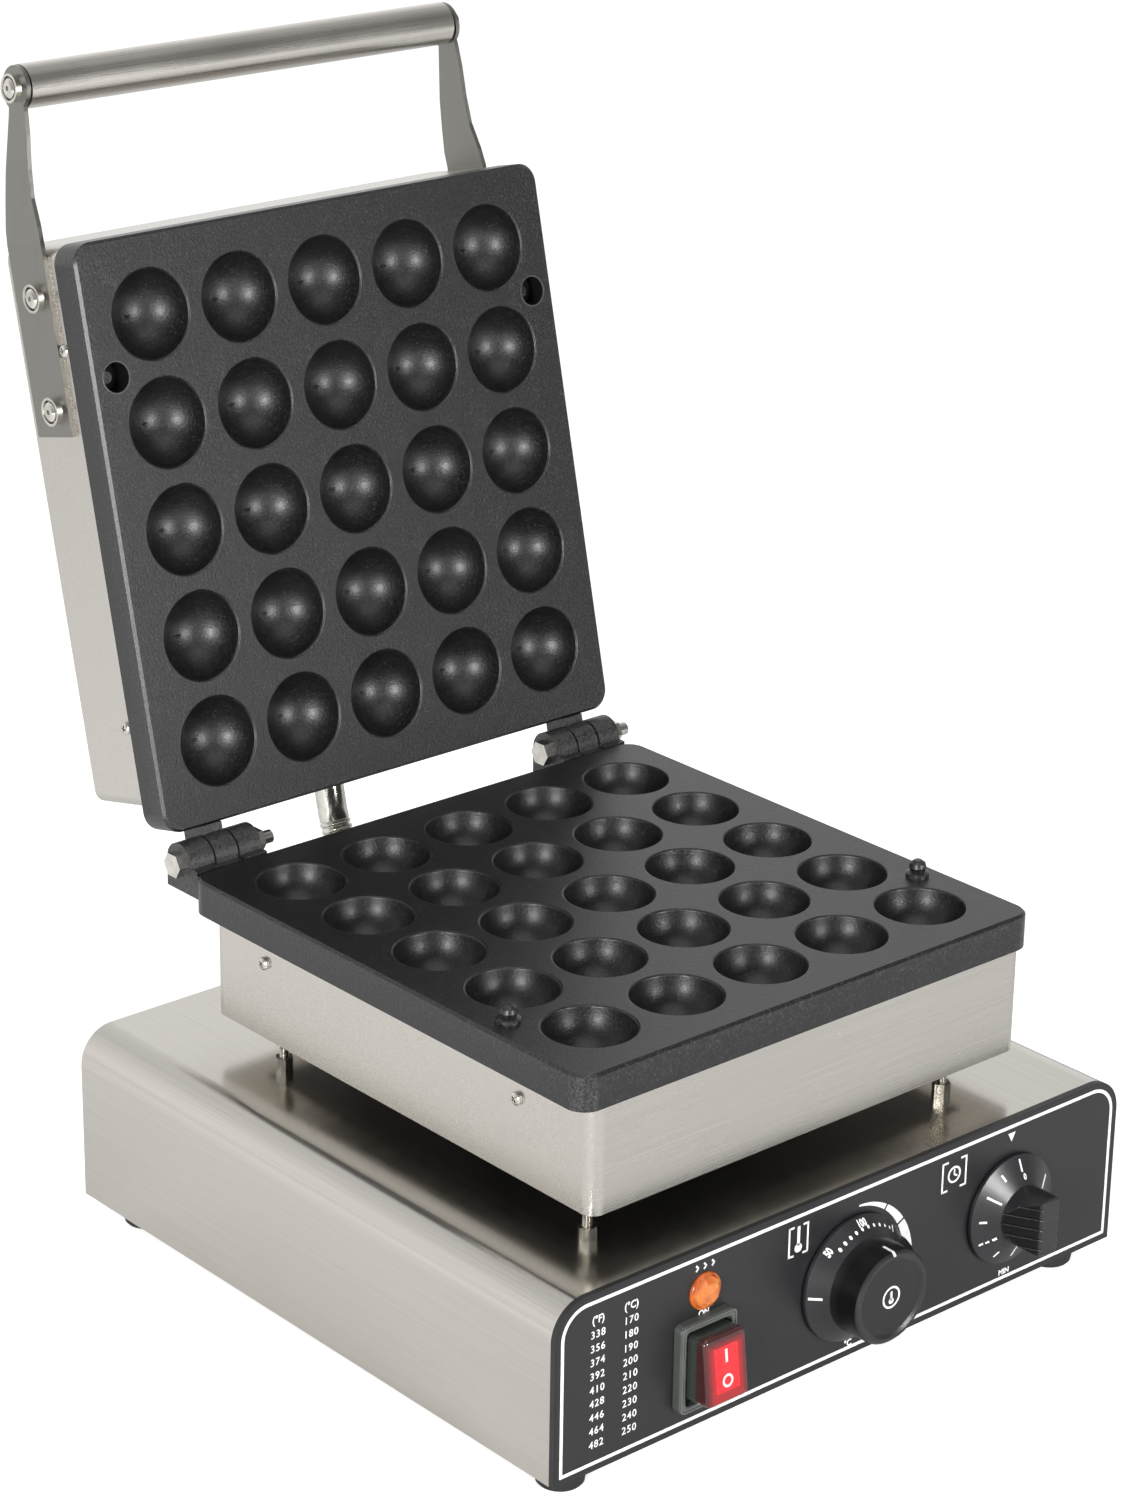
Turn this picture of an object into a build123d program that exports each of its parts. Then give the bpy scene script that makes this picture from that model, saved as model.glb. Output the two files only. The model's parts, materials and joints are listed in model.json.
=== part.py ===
from build123d import *
from math import atan2, cos, radians, sin, sqrt, tan
import os

# Poffertjes maker: two cast plates with 25 bowls each, hinged at the back over a control base.
# Millimetres. +X to the right of the user, +Y to the back, +Z up.
# The pieces are drawn about the centre of the plates with z = 0 on the bench, and moved at the end
# so that the origin is the bottom centre of the machine with its lid standing open.

# Plates and bowls
bowl_rows = 5
bowl_pitch = 46.0
rim_radius = 20.0
rim_round = 1.0
bowl_depth = 18.5
bowl_wall = 4.0
plate_width = 251.0
plate_length = 252.0
plate_thickness = 15.6
plate_corner = 9.0
plate_bevel = 1.2
parting_gap = 0.4

# Heights of the stack, from the bench up
foot_height = 11.0
base_height = 78.3
stand_gap = 15.0
lower_housing_height = 45.9
upper_housing_height = 44.9

# Sheet metal boxes around the plates
housing_width = 239.0
housing_wall = 1.2
housing_corner = 6.0
housing_front_inset = 0.2
housing_back_inset = 8.5
housing_lip = 15.0
floor_thickness = 1.2
wool_thickness = 18.0
lid_wool_thickness = 10.0
wool_gap = 0.4
side_screw_reach = 12.0
side_screw_z = 10.9
side_screw_y = 81.5
side_screw_head = 2.9
side_screw_head_height = 2.2
side_screw_radius = 2.0
lug_depth = 11.0
lug_half_width = 7.0
lug_margin = 6.0

# Control base
base_width = 317.0
base_front = -147.5
base_back = 163.0
base_wall = 1.5
base_round = 16.0
base_flange = 30.0
front_flange = 9.0
bottom_plate_thickness = 1.2
panel_thickness = 2.5
foot_top_radius = 11.5
foot_bottom_radius = 9.5
foot_inset_x = 18.5
foot_inset_front = 14.5
foot_inset_back = 20.0

# Stand studs and wire bushing between base and lower housing
stud_radius = 2.0
stud_lip_inset = 7.5
stud_front_inset = 10.8
stud_right_x = 86.0
stud_back_y = 79.0
nut_flats = 7.0
nut_height = 3.2
tall_nut_height = 5.5
bushing_y = 60.0
bushing_radius = 8.0
bushing_bore = 6.0
bushing_flange = 11.0
bushing_flange_height = 2.0

# Lid hinge
lid_open = 103.26
hinge_reach = 12.6
hinge_rise = 0.5
knuckle_radius = 9.0
knuckle_block = 12.6
knuckle_root = 3.0
knuckle_gap = 1.0
outer_knuckle = (109.5, 121.5)
knuckle_width = 11.5
hinge_bolt_radius = 3.0
hinge_flats = 10.0
hinge_head_height = 4.0
hinge_nut_height = 5.0
hinge_bolt_end = 11.0
running_gap = 0.05
free_gap = 0.3

# Alignment pegs
peg_x = 114.0
peg_y = -69.0
peg_radius = 4.2
peg_height = 7.5
peg_pin_radius = 2.5
peg_pin_length = 7.0
socket_radius = 6.5
socket_depth = 9.0
socket_pin_radius = 2.5

# Heaters
heater_radius = 3.25
heater_wall_gap = 4.05
pin_wall_gap = 2.3
clamp_thickness = 1.5
clamp_width = 12.0
clamp_boss_radius = 4.2
bead_radius = 3.2
bead_length = 8.0
pin_radius = 1.5
pin_length = 10.0
tight_gap = 0.1

# Handle
arm_thickness = 2.0
arm_back = -45.0
arm_bend = 4.4
arm_bend_ahead = 1.0
handle_ahead = 66.0
handle_height = 38.3
handle_radius = 9.5
handle_wall = 1.5
plug_length = 16.0
arm_screw_y = (-104.5, -56.3)
arm_screw_height = 39.6
arm_screw_radius = 2.5
arm_screw_head = 4.2
arm_screw_head_height = 2.6
arm_screw_length = 12.0
eye_screw_length = 16.0
arm_nut_height = 4.0
arm_nut_flats = 8.0
arm_heights = (30.0, 56.0)
arm_neck = [(8.0, 56.0), (20.0, 54.0), (32.0, 51.6), (46.0, 47.5), (56.0, 44.6), (64.0, 43.0), (64.0, 33.5),
            (56.0, 32.6), (46.0, 32.7), (32.0, 34.0), (20.0, 34.0), (8.0, 31.0), (0.0, 30.0)]
cup_radius = 6.2
cup_height = 3.0
cup_wall = 1.1
cup_flare = 0.6

# Flexible conduit to the lid heater
conduit_x = -12.0
conduit_radius = 8.0
conduit_root = 7.1
conduit_bore = 5.9
conduit_rib = 3.0
conduit_start_y = 148.0
conduit_lid_height = 38.0
conduit_lean = 40.0
conduit_base_stub = 3.0
conduit_lid_stub = 18.0
gland_radius = 11.0
gland_height = 8.0
gland_nut_height = 4.0

# Front panel controls: x, height above the bench
thermostat_x = 0.0
timer_x = 92.5
knob_z = 48.0
knob_reach = 24.0
thermostat_skirt_radius = 27.7
skirt_rim_thickness = 1.4
thermostat_skirt_rise = 8.2
grip_base_radius = 20.8
grip_face_radius = 20.4
timer_skirt_radius = 24.5
timer_skirt_rise = 7.5
timer_bar_width = 10.0
timer_grip_radius = 13.0
knob_panel_gap = 1.0
shaft_radius = 3.0
lamp_x = -81.5
lamp_z = 70.4
lamp_radius = 8.0
lamp_proud = 4.0
switch_x = -82.2
switch_z = 40.8
switch_width = 29.5
switch_height = 39.0
switch_proud = 4.5
rocker_width = 22.0
rocker_height = 29.0
rocker_proud = 15.0
rocker_back = 5.0
rocker_tilt = 7.0
rocker_side_gap = 1.0
rocker_end_gap = 2.2
bush_radius = 4.5
shaft_depth = 14.0
shaft_stand = 14.0
timer_rib_pitch = 4.6
timer_rib_radius = 0.9
lamp_stem = 6.0
switch_stem = (26.0, 35.0)
switch_depth = 24.0
pivot_radius = 1.2
pivot_end = 0.8
blade_width = 6.0
blade_length = 8.0
blade_thickness = 0.8
blade_pitch = 10.0
thermostat_body_size = (42.0, 34.0, 36.0)
timer_body_size = (46.0, 30.0, 46.0)

# Inside the base and under the lower plate
bulb_x = 69.0
bulb_radius = 3.0
bulb_y = (-14.0, 2.0)
capillary_radius = 1.0
terminal_place = (100.0, 90.0)
cord_gland_x = 110.0
cord_gland_z = 40.0
cord_gland_hole = 8.0

# Worked out heights and places
base_bottom = foot_height
base_top = base_bottom + base_height
housing_bottom = base_top + stand_gap
plate_bottom = housing_bottom + lower_housing_height
plate_top = plate_bottom + plate_thickness
lid_face = plate_top + parting_gap
lid_plate_top = lid_face + plate_thickness
lid_top = lid_plate_top + upper_housing_height
hinge_y = plate_length / 2 + hinge_reach
hinge_z = plate_top + hinge_rise
housing_front = -plate_length / 2 + housing_front_inset
housing_back = plate_length / 2 - housing_back_inset
housing_side = housing_width / 2
stud_x = (stud_lip_inset - housing_side, stud_right_x)
stud_y = (housing_front + stud_front_inset, stud_back_y)
heater_bend_x = housing_side - housing_wall - heater_wall_gap - heater_radius - bowl_pitch / 2
heater_end_x = housing_side - housing_wall - pin_wall_gap - pin_length - bead_length
base_side = base_width / 2
panel_front = base_front - panel_thickness
knob_face = panel_front - knob_reach
ball_and_round = (rim_radius**2 - bowl_depth**2) / (2 * bowl_depth)
ball_rise = ball_and_round - rim_round
ball_radius = bowl_depth + ball_rise
grid = [bowl_pitch * (i - (bowl_rows - 1) / 2) for i in range(bowl_rows)]
gaps = [bowl_pitch * (i - (bowl_rows - 2) / 2) for i in range(bowl_rows - 1)]
handle_rise = plate_top + handle_height
arm_bend_y = -plate_length / 2 - arm_bend_ahead
handle_y = -plate_length / 2 - handle_ahead
arm_reach = arm_bend_y - handle_y
arm_outside = housing_side + arm_thickness

# The handle is what stands furthest back while the lid is open, and the knob what stands furthest forward.
open_turn = radians(lid_open)
open_handle_y = (hinge_y + (handle_y - hinge_y) * cos(open_turn)
                 + (handle_rise - hinge_z) * sin(open_turn))
origin_y = (open_handle_y + handle_radius + knob_face) / 2


def slab(x, y, z, corner=0.0):
    """Box between three pairs of limits, with rounded upright edges where a corner is given."""
    body = Box(x[1] - x[0], y[1] - y[0], z[1] - z[0])
    body = Pos((x[0] + x[1]) / 2, (y[0] + y[1]) / 2, (z[0] + z[1]) / 2) * body
    if corner:
        body = fillet(body.edges().filter_by(Axis.Z), corner)
    return body


def frame_at(start, direction):
    """Place at a point with its z axis along a direction."""
    side = (1, 0, 0) if abs(direction[0]) < 0.5 else (0, 1, 0)
    return Plane(origin=start, x_dir=side, z_dir=direction).location


def rod(start, direction, length, radius, bore=0.0):
    """Round bar or tube from a point along a direction."""
    middle = (Align.CENTER, Align.CENTER, Align.MIN)
    body = Cylinder(radius, length, align=middle)
    if bore:
        body -= Cylinder(bore, length, align=middle)
    return frame_at(start, direction) * body


def hexagon(start, direction, length, across_flats, bore=0.0):
    """Hexagon bar or nut from a point along a direction."""
    body = extrude(RegularPolygon(across_flats / 2, 6, major_radius=False), length)
    if bore:
        body -= Cylinder(bore, 3 * length)
    return frame_at(start, direction) * body


def turned(outline, start, direction):
    """Solid turned about a direction from (radius, height) points."""
    points = [(radius, 0, height) for radius, height in outline]
    body = revolve(make_face(Polyline(*points, close=True)), Axis.Z)
    return frame_at(start, direction) * body


def pan_screw(seat, direction, head_radius, head_height, radius, length):
    """Screw with a domed head that stands on its seat, its shank going the other way."""
    dome = 0.35 * head_height
    outline = [(0, -length), (radius, -length), (radius, 0), (head_radius, 0),
               (head_radius, head_height - dome), (0.7 * head_radius, head_height),
               (0.25 * head_radius, head_height), (0.25 * head_radius, 0.4 * head_height),
               (0, 0.4 * head_height)]
    return turned(outline, seat, direction)


def in_lid(shape):
    """Turn a piece that was drawn with the lid shut to where it stands with the lid open."""
    hinge = Axis((0, hinge_y, hinge_z), (1, 0, 0))
    return shape.rotate(hinge, -lid_open)


def write(name, *solids):
    """Save one or more separate solids as one named piece."""
    moved = []
    for solid in solids:
        moved += [Pos(0, -origin_y, 0) * one for one in solid.solids()]
    shape = moved[0] if len(moved) == 1 else Compound(children=moved)
    export_step(shape, f"parts/{name}.step")


def both(low, high):
    """A pair of limits given in either order, sorted."""
    return (min(low, high), max(low, high))


# Plates

def bowl_cutter():
    """Room of one bowl with its rounded rim, the rim circle lying on z = 0."""
    ball = Vector(0, 0, ball_rise)
    round_centre = Vector(rim_radius, 0, -rim_round)
    towards = (round_centre - ball).normalized()
    meeting = ball + towards * ball_radius
    half = atan2(meeting.X, ball_rise - meeting.Z) / 2
    on_ball = Vector(ball_radius * sin(half), 0, ball_rise - ball_radius * cos(half))
    bottom = Vector(0, 0, -bowl_depth)
    rim = Vector(rim_radius, 0, 0)
    halfway = ((meeting - round_centre).normalized() + Vector(0, 0, 1)).normalized()
    on_round = round_centre + halfway * rim_round
    above = Vector(rim_radius, 0, rim_round)
    axis_top = Vector(0, 0, rim_round)
    outline = [ThreePointArc(bottom, on_ball, meeting), ThreePointArc(meeting, on_round, rim),
               Line(rim, above), Line(above, axis_top), Line(axis_top, bottom)]
    return revolve(make_face(outline), Axis.Z)


def bowl_bulge():
    """Outside of one bowl where it swells out beneath its plate, with the plate's face on z = 0."""
    outside = ball_radius + bowl_wall
    top = -plate_thickness + bowl_wall / 2
    cap = Sphere(outside, align=(Align.CENTER,) * 3)
    cap = Pos(0, 0, ball_rise) * cap
    below = (Align.CENTER, Align.CENTER, Align.MAX)
    keep = Pos(0, 0, top) * Box(3 * outside, 3 * outside, 3 * outside, align=below)
    return cap & keep


def plate_blank():
    """Plate with its bowls, face on z = 0 and body below it, ready for knuckles and lugs."""
    half_x = plate_width / 2
    half_y = plate_length / 2
    body = slab((-half_x, half_x), (-half_y, half_y), (-plate_thickness, 0), plate_corner)
    body = chamfer(body.faces().sort_by(Axis.Z)[-1].edges(), plate_bevel)
    bulge = bowl_bulge()
    room = bowl_cutter()
    places = [(x, y) for x in grid for y in grid]
    body += [Pos(x, y, 0) * bulge for x, y in places]
    body += clamp_bosses()
    body -= [Pos(x, y, 0) * room for x, y in places]
    return body


def clamp_bosses():
    """Round bosses between the bowls that the heater clamp is screwed to."""
    low = -plate_thickness - 2 * heater_radius - 2 * tight_gap
    return [rod((x, y, -plate_thickness + 1), (0, 0, -1), -plate_thickness + 1 - low, clamp_boss_radius)
            for x, y in clamp_places()]


def clamp_places():
    """Where the heater clamps are screwed to a plate."""
    return [(x, y) for x in (gaps[1], gaps[2]) for y in (grid[0], grid[2], grid[4])]


def side_lug(side, y, z_face, up):
    """Lug of a plate behind the wall of its housing, where a side screw goes in."""
    inner = housing_side - housing_wall
    x = both(side * (inner - lug_depth), side * inner)
    z = both(z_face - up, z_face + up * (side_screw_z + lug_margin))
    return slab(x, (y - lug_half_width, y + lug_half_width), z)


def side_screw_hole(side, y, z):
    """Threaded hole of a side screw."""
    start = (side * (housing_side + 1), y, z)
    return rod(start, (-side, 0, 0), side_screw_reach + 2, side_screw_radius + running_gap)


def side_screw(side, y, z):
    """One of the small screws that hold a housing to its plate."""
    seat = (side * housing_side, y, z)
    return pan_screw(seat, (side, 0, 0), side_screw_head, side_screw_head_height, side_screw_radius,
                     side_screw_reach)


def knuckle(x, up):
    """Hinge knuckle with the block that joins it to the back of its plate."""
    back = plate_length / 2
    low, high = x
    far = hinge_z + up * knuckle_block
    barrel = rod((low, hinge_y, hinge_z), (1, 0, 0), high - low, knuckle_radius)
    block = slab(x, (back, hinge_y + knuckle_radius), both(hinge_z, far))
    root = slab(x, (back - knuckle_root, back), both(hinge_z + up * (hinge_rise + plate_bevel), far))
    return barrel + block + root


def knuckle_spans(side):
    """Limits in x of the outer, middle and inner knuckle on one side."""
    outer = outer_knuckle
    middle = (outer[0] - knuckle_gap - knuckle_width, outer[0] - knuckle_gap)
    inner = (middle[0] - knuckle_gap - knuckle_width, middle[0] - knuckle_gap)
    return [both(side * span[0], side * span[1]) for span in (outer, middle, inner)]


def hinge_bore(radius):
    """Holes for both hinge bolts."""
    inner = outer_knuckle[1] - 4 * knuckle_width
    reach = 5 * knuckle_width
    return [rod((side * inner, hinge_y, hinge_z), (side, 0, 0), reach, radius) for side in (-1, 1)]


def lower_plate():
    """Lower cast plate."""
    body = Pos(0, 0, plate_top) * plate_blank()
    for side in (-1, 1):
        outer, middle, inner = knuckle_spans(side)
        body += knuckle(outer, -1)
        body += knuckle(inner, -1)
        body -= slab((middle[0] - knuckle_gap, middle[1] + knuckle_gap),
                     (hinge_y - knuckle_radius - 4, plate_length),
                     (plate_bottom - 1, plate_top + 1))
        for y in (-side_screw_y, side_screw_y):
            body += side_lug(side, y, plate_bottom, -1)
            body -= side_screw_hole(side, y, plate_bottom - side_screw_z)
        peg_bore = peg_pin_radius + running_gap
        body -= rod((side * peg_x, peg_y, plate_top + 1), (0, 0, -1), peg_pin_length + 2, peg_bore)
    for x, y in clamp_places():
        body -= rod((x, y, plate_bottom - 15), (0, 0, 1), 22, 1.5 + running_gap)
    body -= hinge_bore(hinge_bolt_radius + running_gap)
    return body


def upper_plate():
    """Upper cast plate, drawn shut, its bowls facing down."""
    body = Pos(0, 0, lid_face) * Rot(180, 0, 0) * plate_blank()
    for side in (-1, 1):
        middle = knuckle_spans(side)[1]
        body += knuckle(middle, 1)
        body += stop_heel(middle)
        for y in (-side_screw_y, side_screw_y):
            body += side_lug(side, y, lid_plate_top, 1)
            body -= side_screw_hole(side, y, lid_plate_top + side_screw_z)
        body -= rod((side * peg_x, peg_y, lid_face - 1), (0, 0, 1), socket_depth + 1, socket_radius)
        body += rod((side * peg_x, peg_y, lid_face + socket_depth + 0.5), (0, 0, -1), 2, socket_pin_radius)
    for x, y in clamp_places():
        body -= rod((x, y, lid_plate_top + 15), (0, 0, -1), 22, 1.5 + running_gap)
    body -= hinge_bore(hinge_bolt_radius + running_gap)
    return body


def stop_heel(x):
    """Heel on a lid knuckle that meets the back of the lower plate when the lid is open."""
    reach = hinge_y - plate_length / 2 - free_gap
    heel = slab(x, (hinge_y - reach, hinge_y), (hinge_z - 7, hinge_z - 1))
    return heel.rotate(Axis((0, hinge_y, hinge_z), (1, 0, 0)), lid_open)


def alignment_peg(side):
    """Peg with a flange, a waist and a domed top."""
    outline = [(0, -peg_pin_length), (peg_pin_radius, -peg_pin_length), (peg_pin_radius, 0),
               (peg_radius + 0.8, 0), (peg_radius + 0.8, 1.8), (peg_radius - 1.0, 2.6),
               (peg_radius - 0.4, 4.4), (peg_radius - 0.9, 6.2), (1.6, peg_height), (0, peg_height)]
    return turned(outline, (side * peg_x, peg_y, plate_top), (0, 0, 1))


def hinge_bolt(side):
    """Hexagon bolt through three knuckles, its head towards -X on both sides."""
    outer, middle, inner = knuckle_spans(side)
    left = min(outer[0], inner[0])
    right = max(outer[1], inner[1])
    head = hexagon((left, hinge_y, hinge_z), (-1, 0, 0), hinge_head_height, hinge_flats)
    shank = rod((left, hinge_y, hinge_z), (1, 0, 0), right - left + hinge_bolt_end, hinge_bolt_radius)
    return head + shank


def hinge_nut(side):
    """Nut on the end of a hinge bolt."""
    outer, middle, inner = knuckle_spans(side)
    right = max(outer[1], inner[1])
    bore = hinge_bolt_radius + running_gap
    return hexagon((right, hinge_y, hinge_z), (1, 0, 0), hinge_nut_height, hinge_flats, bore)


# Heaters, clamps and wool, drawn for a plate face on z = 0 with the body below

def heater_level():
    """Height of the heater's axis against a plate that lies below z = 0."""
    return -plate_thickness - tight_gap - heater_radius


def heater_tube():
    """Heater tube that winds between the rows of bowls, both ends on the same side."""
    z = heater_level()
    edges = []
    side = 1
    for i, y in enumerate(gaps):
        first = -heater_end_x if i == 0 else -side * heater_bend_x
        last = -heater_end_x if i == len(gaps) - 1 else side * heater_bend_x
        edges.append(Line((first, y, z), (last, y, z)))
        if i < len(gaps) - 1:
            middle = (side * (heater_bend_x + bowl_pitch / 2), y + bowl_pitch / 2, z)
            edges.append(ThreePointArc((last, y, z), middle, (last, y + bowl_pitch, z)))
        side = -side
    path = Wire(edges)
    section = Plane(origin=(-heater_end_x, gaps[0], z), z_dir=(1, 0, 0)) * Circle(heater_radius)
    return sweep(section, path=path)


def heater_beads():
    """Ceramic beads on the two ends of a heater."""
    z = heater_level()
    return [rod((-heater_end_x, y, z), (-1, 0, 0), bead_length, bead_radius, pin_radius + running_gap)
            for y in (gaps[0], gaps[-1])]


def heater_pins():
    """Steel connection pins of a heater."""
    z = heater_level()
    return [rod((-heater_end_x, y, z), (-1, 0, 0), bead_length + pin_length, pin_radius)
            for y in (gaps[0], gaps[-1])]


def heater_clamps():
    """Two flat strips that press the heater to its plate."""
    top = -plate_thickness - 2 * heater_radius - 2 * tight_gap
    strips = []
    for x in (gaps[1], gaps[2]):
        reach = grid[-1] + 8
        across = (x - clamp_width / 2, x + clamp_width / 2)
        strip = slab(across, (-reach, reach), (top - clamp_thickness, top))
        strip -= [rod((x, y, top + 1), (0, 0, -1), 6, 1.5 + running_gap) for y in (grid[0], grid[2], grid[4])]
        strips.append(strip)
    return strips


def clamp_screws():
    """Screws of the heater clamps."""
    seat = -plate_thickness - 2 * heater_radius - 2 * tight_gap - clamp_thickness
    return [pan_screw((x, y, seat), (0, 0, -1), 3.0, 2.0, 1.5, 10.0) for x, y in clamp_places()]


def placed(shapes, lid):
    """Put pieces drawn against a plate face on z = 0 on the lower plate or in the open lid."""
    if lid:
        return [in_lid(Pos(0, 0, lid_face) * Rot(180, 0, 0) * shape) for shape in shapes]
    return [Pos(0, 0, plate_top) * shape for shape in shapes]


# Housings

def housing(z, open_face):
    """Sheet metal box around a plate's underside, open towards the plate."""
    outside = slab((-housing_side, housing_side), (housing_front, housing_back), z, housing_corner)
    inner = housing_side - housing_wall
    low = z[0] + (0 if open_face < 0 else housing_wall)
    high = z[1] - (0 if open_face > 0 else housing_wall)
    room = slab((-inner, inner), (housing_front + housing_wall, housing_back - housing_wall), (low, high),
                housing_corner - housing_wall)
    return outside - room


def lower_housing():
    """Lower housing with a folded lip around its bottom."""
    body = housing((housing_bottom, plate_bottom), 1)
    inner = housing_side - housing_lip
    body -= slab((-inner, inner), (housing_front + housing_lip, housing_back - housing_lip),
                 (housing_bottom - 1, housing_bottom + 5))
    for side in (-1, 1):
        for y in (-side_screw_y, side_screw_y):
            body -= side_screw_hole(side, y, plate_bottom - side_screw_z)
    body -= stud_holes(housing_bottom - 1, housing_bottom + 5, stud_radius + 0.3)
    return body


def housing_floor():
    """Sheet that closes the lower housing, lying on its lip."""
    inner = housing_side - housing_wall - tight_gap
    low = housing_bottom + housing_wall
    margin = housing_wall + tight_gap
    body = slab((-inner, inner), (housing_front + margin, housing_back - margin),
                (low, low + floor_thickness), housing_corner - margin)
    body -= stud_holes(low - 1, low + 5, stud_radius + 0.3)
    body -= rod((0, bushing_y, low - 1), (0, 0, 1), 5, bushing_radius + running_gap)
    return body


def upper_housing():
    """Lid housing, drawn shut."""
    body = housing((lid_plate_top, lid_top), -1)
    for side in (-1, 1):
        for y in (-side_screw_y, side_screw_y):
            body -= side_screw_hole(side, y, lid_plate_top + side_screw_z)
        for y in arm_screw_y:
            start = (side * (housing_side + 1), y, plate_top + arm_screw_height)
            body -= rod(start, (-side, 0, 0), 4, arm_screw_radius + running_gap)
    body -= rod((conduit_x, housing_back + 1, plate_top + conduit_lid_height), (0, -1, 0), 4, conduit_root)
    return body


def stud_holes(low, high, radius):
    """Holes for the stand studs through one sheet."""
    return [rod((x, y, low), (0, 0, 1), high - low, radius) for x in stud_x for y in stud_y]


def wool(z, holes):
    """Mineral wool mat inside a housing."""
    inner = housing_side - housing_wall - wool_gap
    margin = housing_wall + wool_gap
    depth = (housing_front + margin, housing_back - margin)
    body = slab((-inner, inner), depth, z, housing_corner - housing_wall)
    for x, y, radius in holes:
        body -= rod((x, y, z[0] - 1), (0, 0, 1), z[1] - z[0] + 2, radius)
    return body


# Stand between base and lower housing

def studs():
    """Four studs that carry the lower housing above the base."""
    low = base_top - base_wall - nut_height - 2
    high = housing_bottom + housing_wall + floor_thickness + nut_height + 2
    return [rod((x, y, low), (0, 0, 1), high - low, stud_radius) for x in stud_x for y in stud_y]


def on_lip(x, y):
    """Whether a stud passes through the folded lip of the lower housing."""
    inside_x = abs(x) < housing_side - housing_lip
    inside_y = housing_front + housing_lip < y < housing_back - housing_lip
    return not (inside_x and inside_y)


def support_nuts():
    """Four nuts on each stud: under and on the base's top, under and on the housing's floor."""
    bore = stud_radius + running_gap
    floor_low = housing_bottom + housing_wall
    nuts = []
    for x in stud_x:
        for y in stud_y:
            under = housing_bottom if on_lip(x, y) else floor_low
            nuts.append(hexagon((x, y, base_top - base_wall), (0, 0, -1), nut_height, nut_flats, bore))
            nuts.append(hexagon((x, y, base_top), (0, 0, 1), tall_nut_height, nut_flats, bore))
            nuts.append(hexagon((x, y, under), (0, 0, -1), nut_height, nut_flats, bore))
            nuts.append(hexagon((x, y, floor_low + floor_thickness), (0, 0, 1), nut_height, nut_flats, bore))
    return nuts


def wire_bushing():
    """Flanged sleeve that leads the wires from the base into the lower housing."""
    top = housing_bottom + housing_wall + floor_thickness + 4
    outline = [(bushing_bore, base_top - 6), (bushing_radius, base_top - 6), (bushing_radius, base_top),
               (bushing_flange, base_top), (bushing_flange, base_top + bushing_flange_height),
               (bushing_radius, base_top + bushing_flange_height), (bushing_radius, top), (bushing_bore, top)]
    return turned(outline, (0, bushing_y, 0), (0, 0, 1))


# Base

def base_section(inset):
    """Section of the base across x and z, drawn in by an inset, its top corners rounded."""
    side = base_side - inset
    low = base_bottom + inset
    high = base_top - inset
    corner = base_round - inset
    slant = corner * (1 - sqrt(0.5))
    points = [(-side, low), (side, low), (side, high - corner), (side - corner, high),
              (corner - side, high), (-side, high - corner)]
    a, b, c, d, e, f = [Vector(x, 0, z) for x, z in points]
    right = Vector(side - slant, 0, high - slant)
    left = Vector(slant - side, 0, high - slant)
    return make_face([Line(a, b), Line(b, c), ThreePointArc(c, right, d), Line(d, e),
                      ThreePointArc(e, left, f), Line(f, a)])


def run_back(face, front, back):
    """Solid that carries a section in the x-z plane from one y to another."""
    return extrude(Pos(0, front, 0) * face, back - front, dir=(0, 1, 0))


def base_shell():
    """Folded shell of the base with flanges around its front and bottom."""
    body = run_back(base_section(0), base_front, base_back)
    body -= run_back(base_section(base_wall), base_front + base_wall, base_back - base_wall)
    body -= run_back(base_section(front_flange), base_front - 1, base_front + 2 * base_wall)
    side = base_side - base_flange
    body -= slab((-side, side), (base_front + base_flange, base_back - base_flange),
                 (base_bottom - 1, base_bottom + 2 * base_wall))
    body -= stud_holes(base_top - 2 * base_wall, base_top + 1, stud_radius + 0.3)
    body -= rod((0, bushing_y, base_top - 5), (0, 0, 1), 8, bushing_radius + running_gap)
    body -= rod((conduit_x, conduit_start_y, base_top - 5), (0, 0, 1), 8, conduit_root)
    body -= rod((cord_gland_x, base_back + 1, cord_gland_z), (0, -1, 0), 6, cord_gland_hole)
    body -= [rod((x, y, base_bottom - 1), (0, 0, 1), 4, 2.2) for x, y in foot_places()]
    return body


def foot_places():
    """Centres of the four feet."""
    front = base_front + foot_inset_front
    back = base_back - foot_inset_back
    side = base_side - foot_inset_x
    return [(x, y) for x in (-side, side) for y in (front, back)]


def bottom_plate():
    """Sheet that closes the base, lying on its bottom flange."""
    inner = base_side - base_wall - tight_gap
    low = base_bottom + base_wall
    body = slab((-inner, inner), (base_front + base_wall + tight_gap, base_back - base_wall - tight_gap),
                (low, low + bottom_plate_thickness))
    body -= [rod((x, y, low - 1), (0, 0, 1), 4, 2.2) for x, y in foot_places()]
    return body


def foot(x, y):
    """Rubber foot, a cone that narrows downwards, with a recess for its screw."""
    outline = [(2.2, foot_height), (foot_top_radius, foot_height), (foot_bottom_radius + 0.3, 1.0),
               (foot_bottom_radius - 0.6, 0), (4.4, 0), (4.4, 6.0), (2.2, 6.0)]
    return turned(outline, (x, y, 0), (0, 0, 1))


def foot_screw(x, y):
    """Screw of a foot, its head up in the recess."""
    return pan_screw((x, y, 6.0), (0, 0, -1), 3.8, 2.6, 2.0, 13.0)


def foot_nut(x, y):
    """Nut of a foot screw, on the bottom plate."""
    seat = base_bottom + base_wall + bottom_plate_thickness
    return hexagon((x, y, seat), (0, 0, 1), nut_height, nut_flats, 2.0 + running_gap)


# Front panel and its controls

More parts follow.
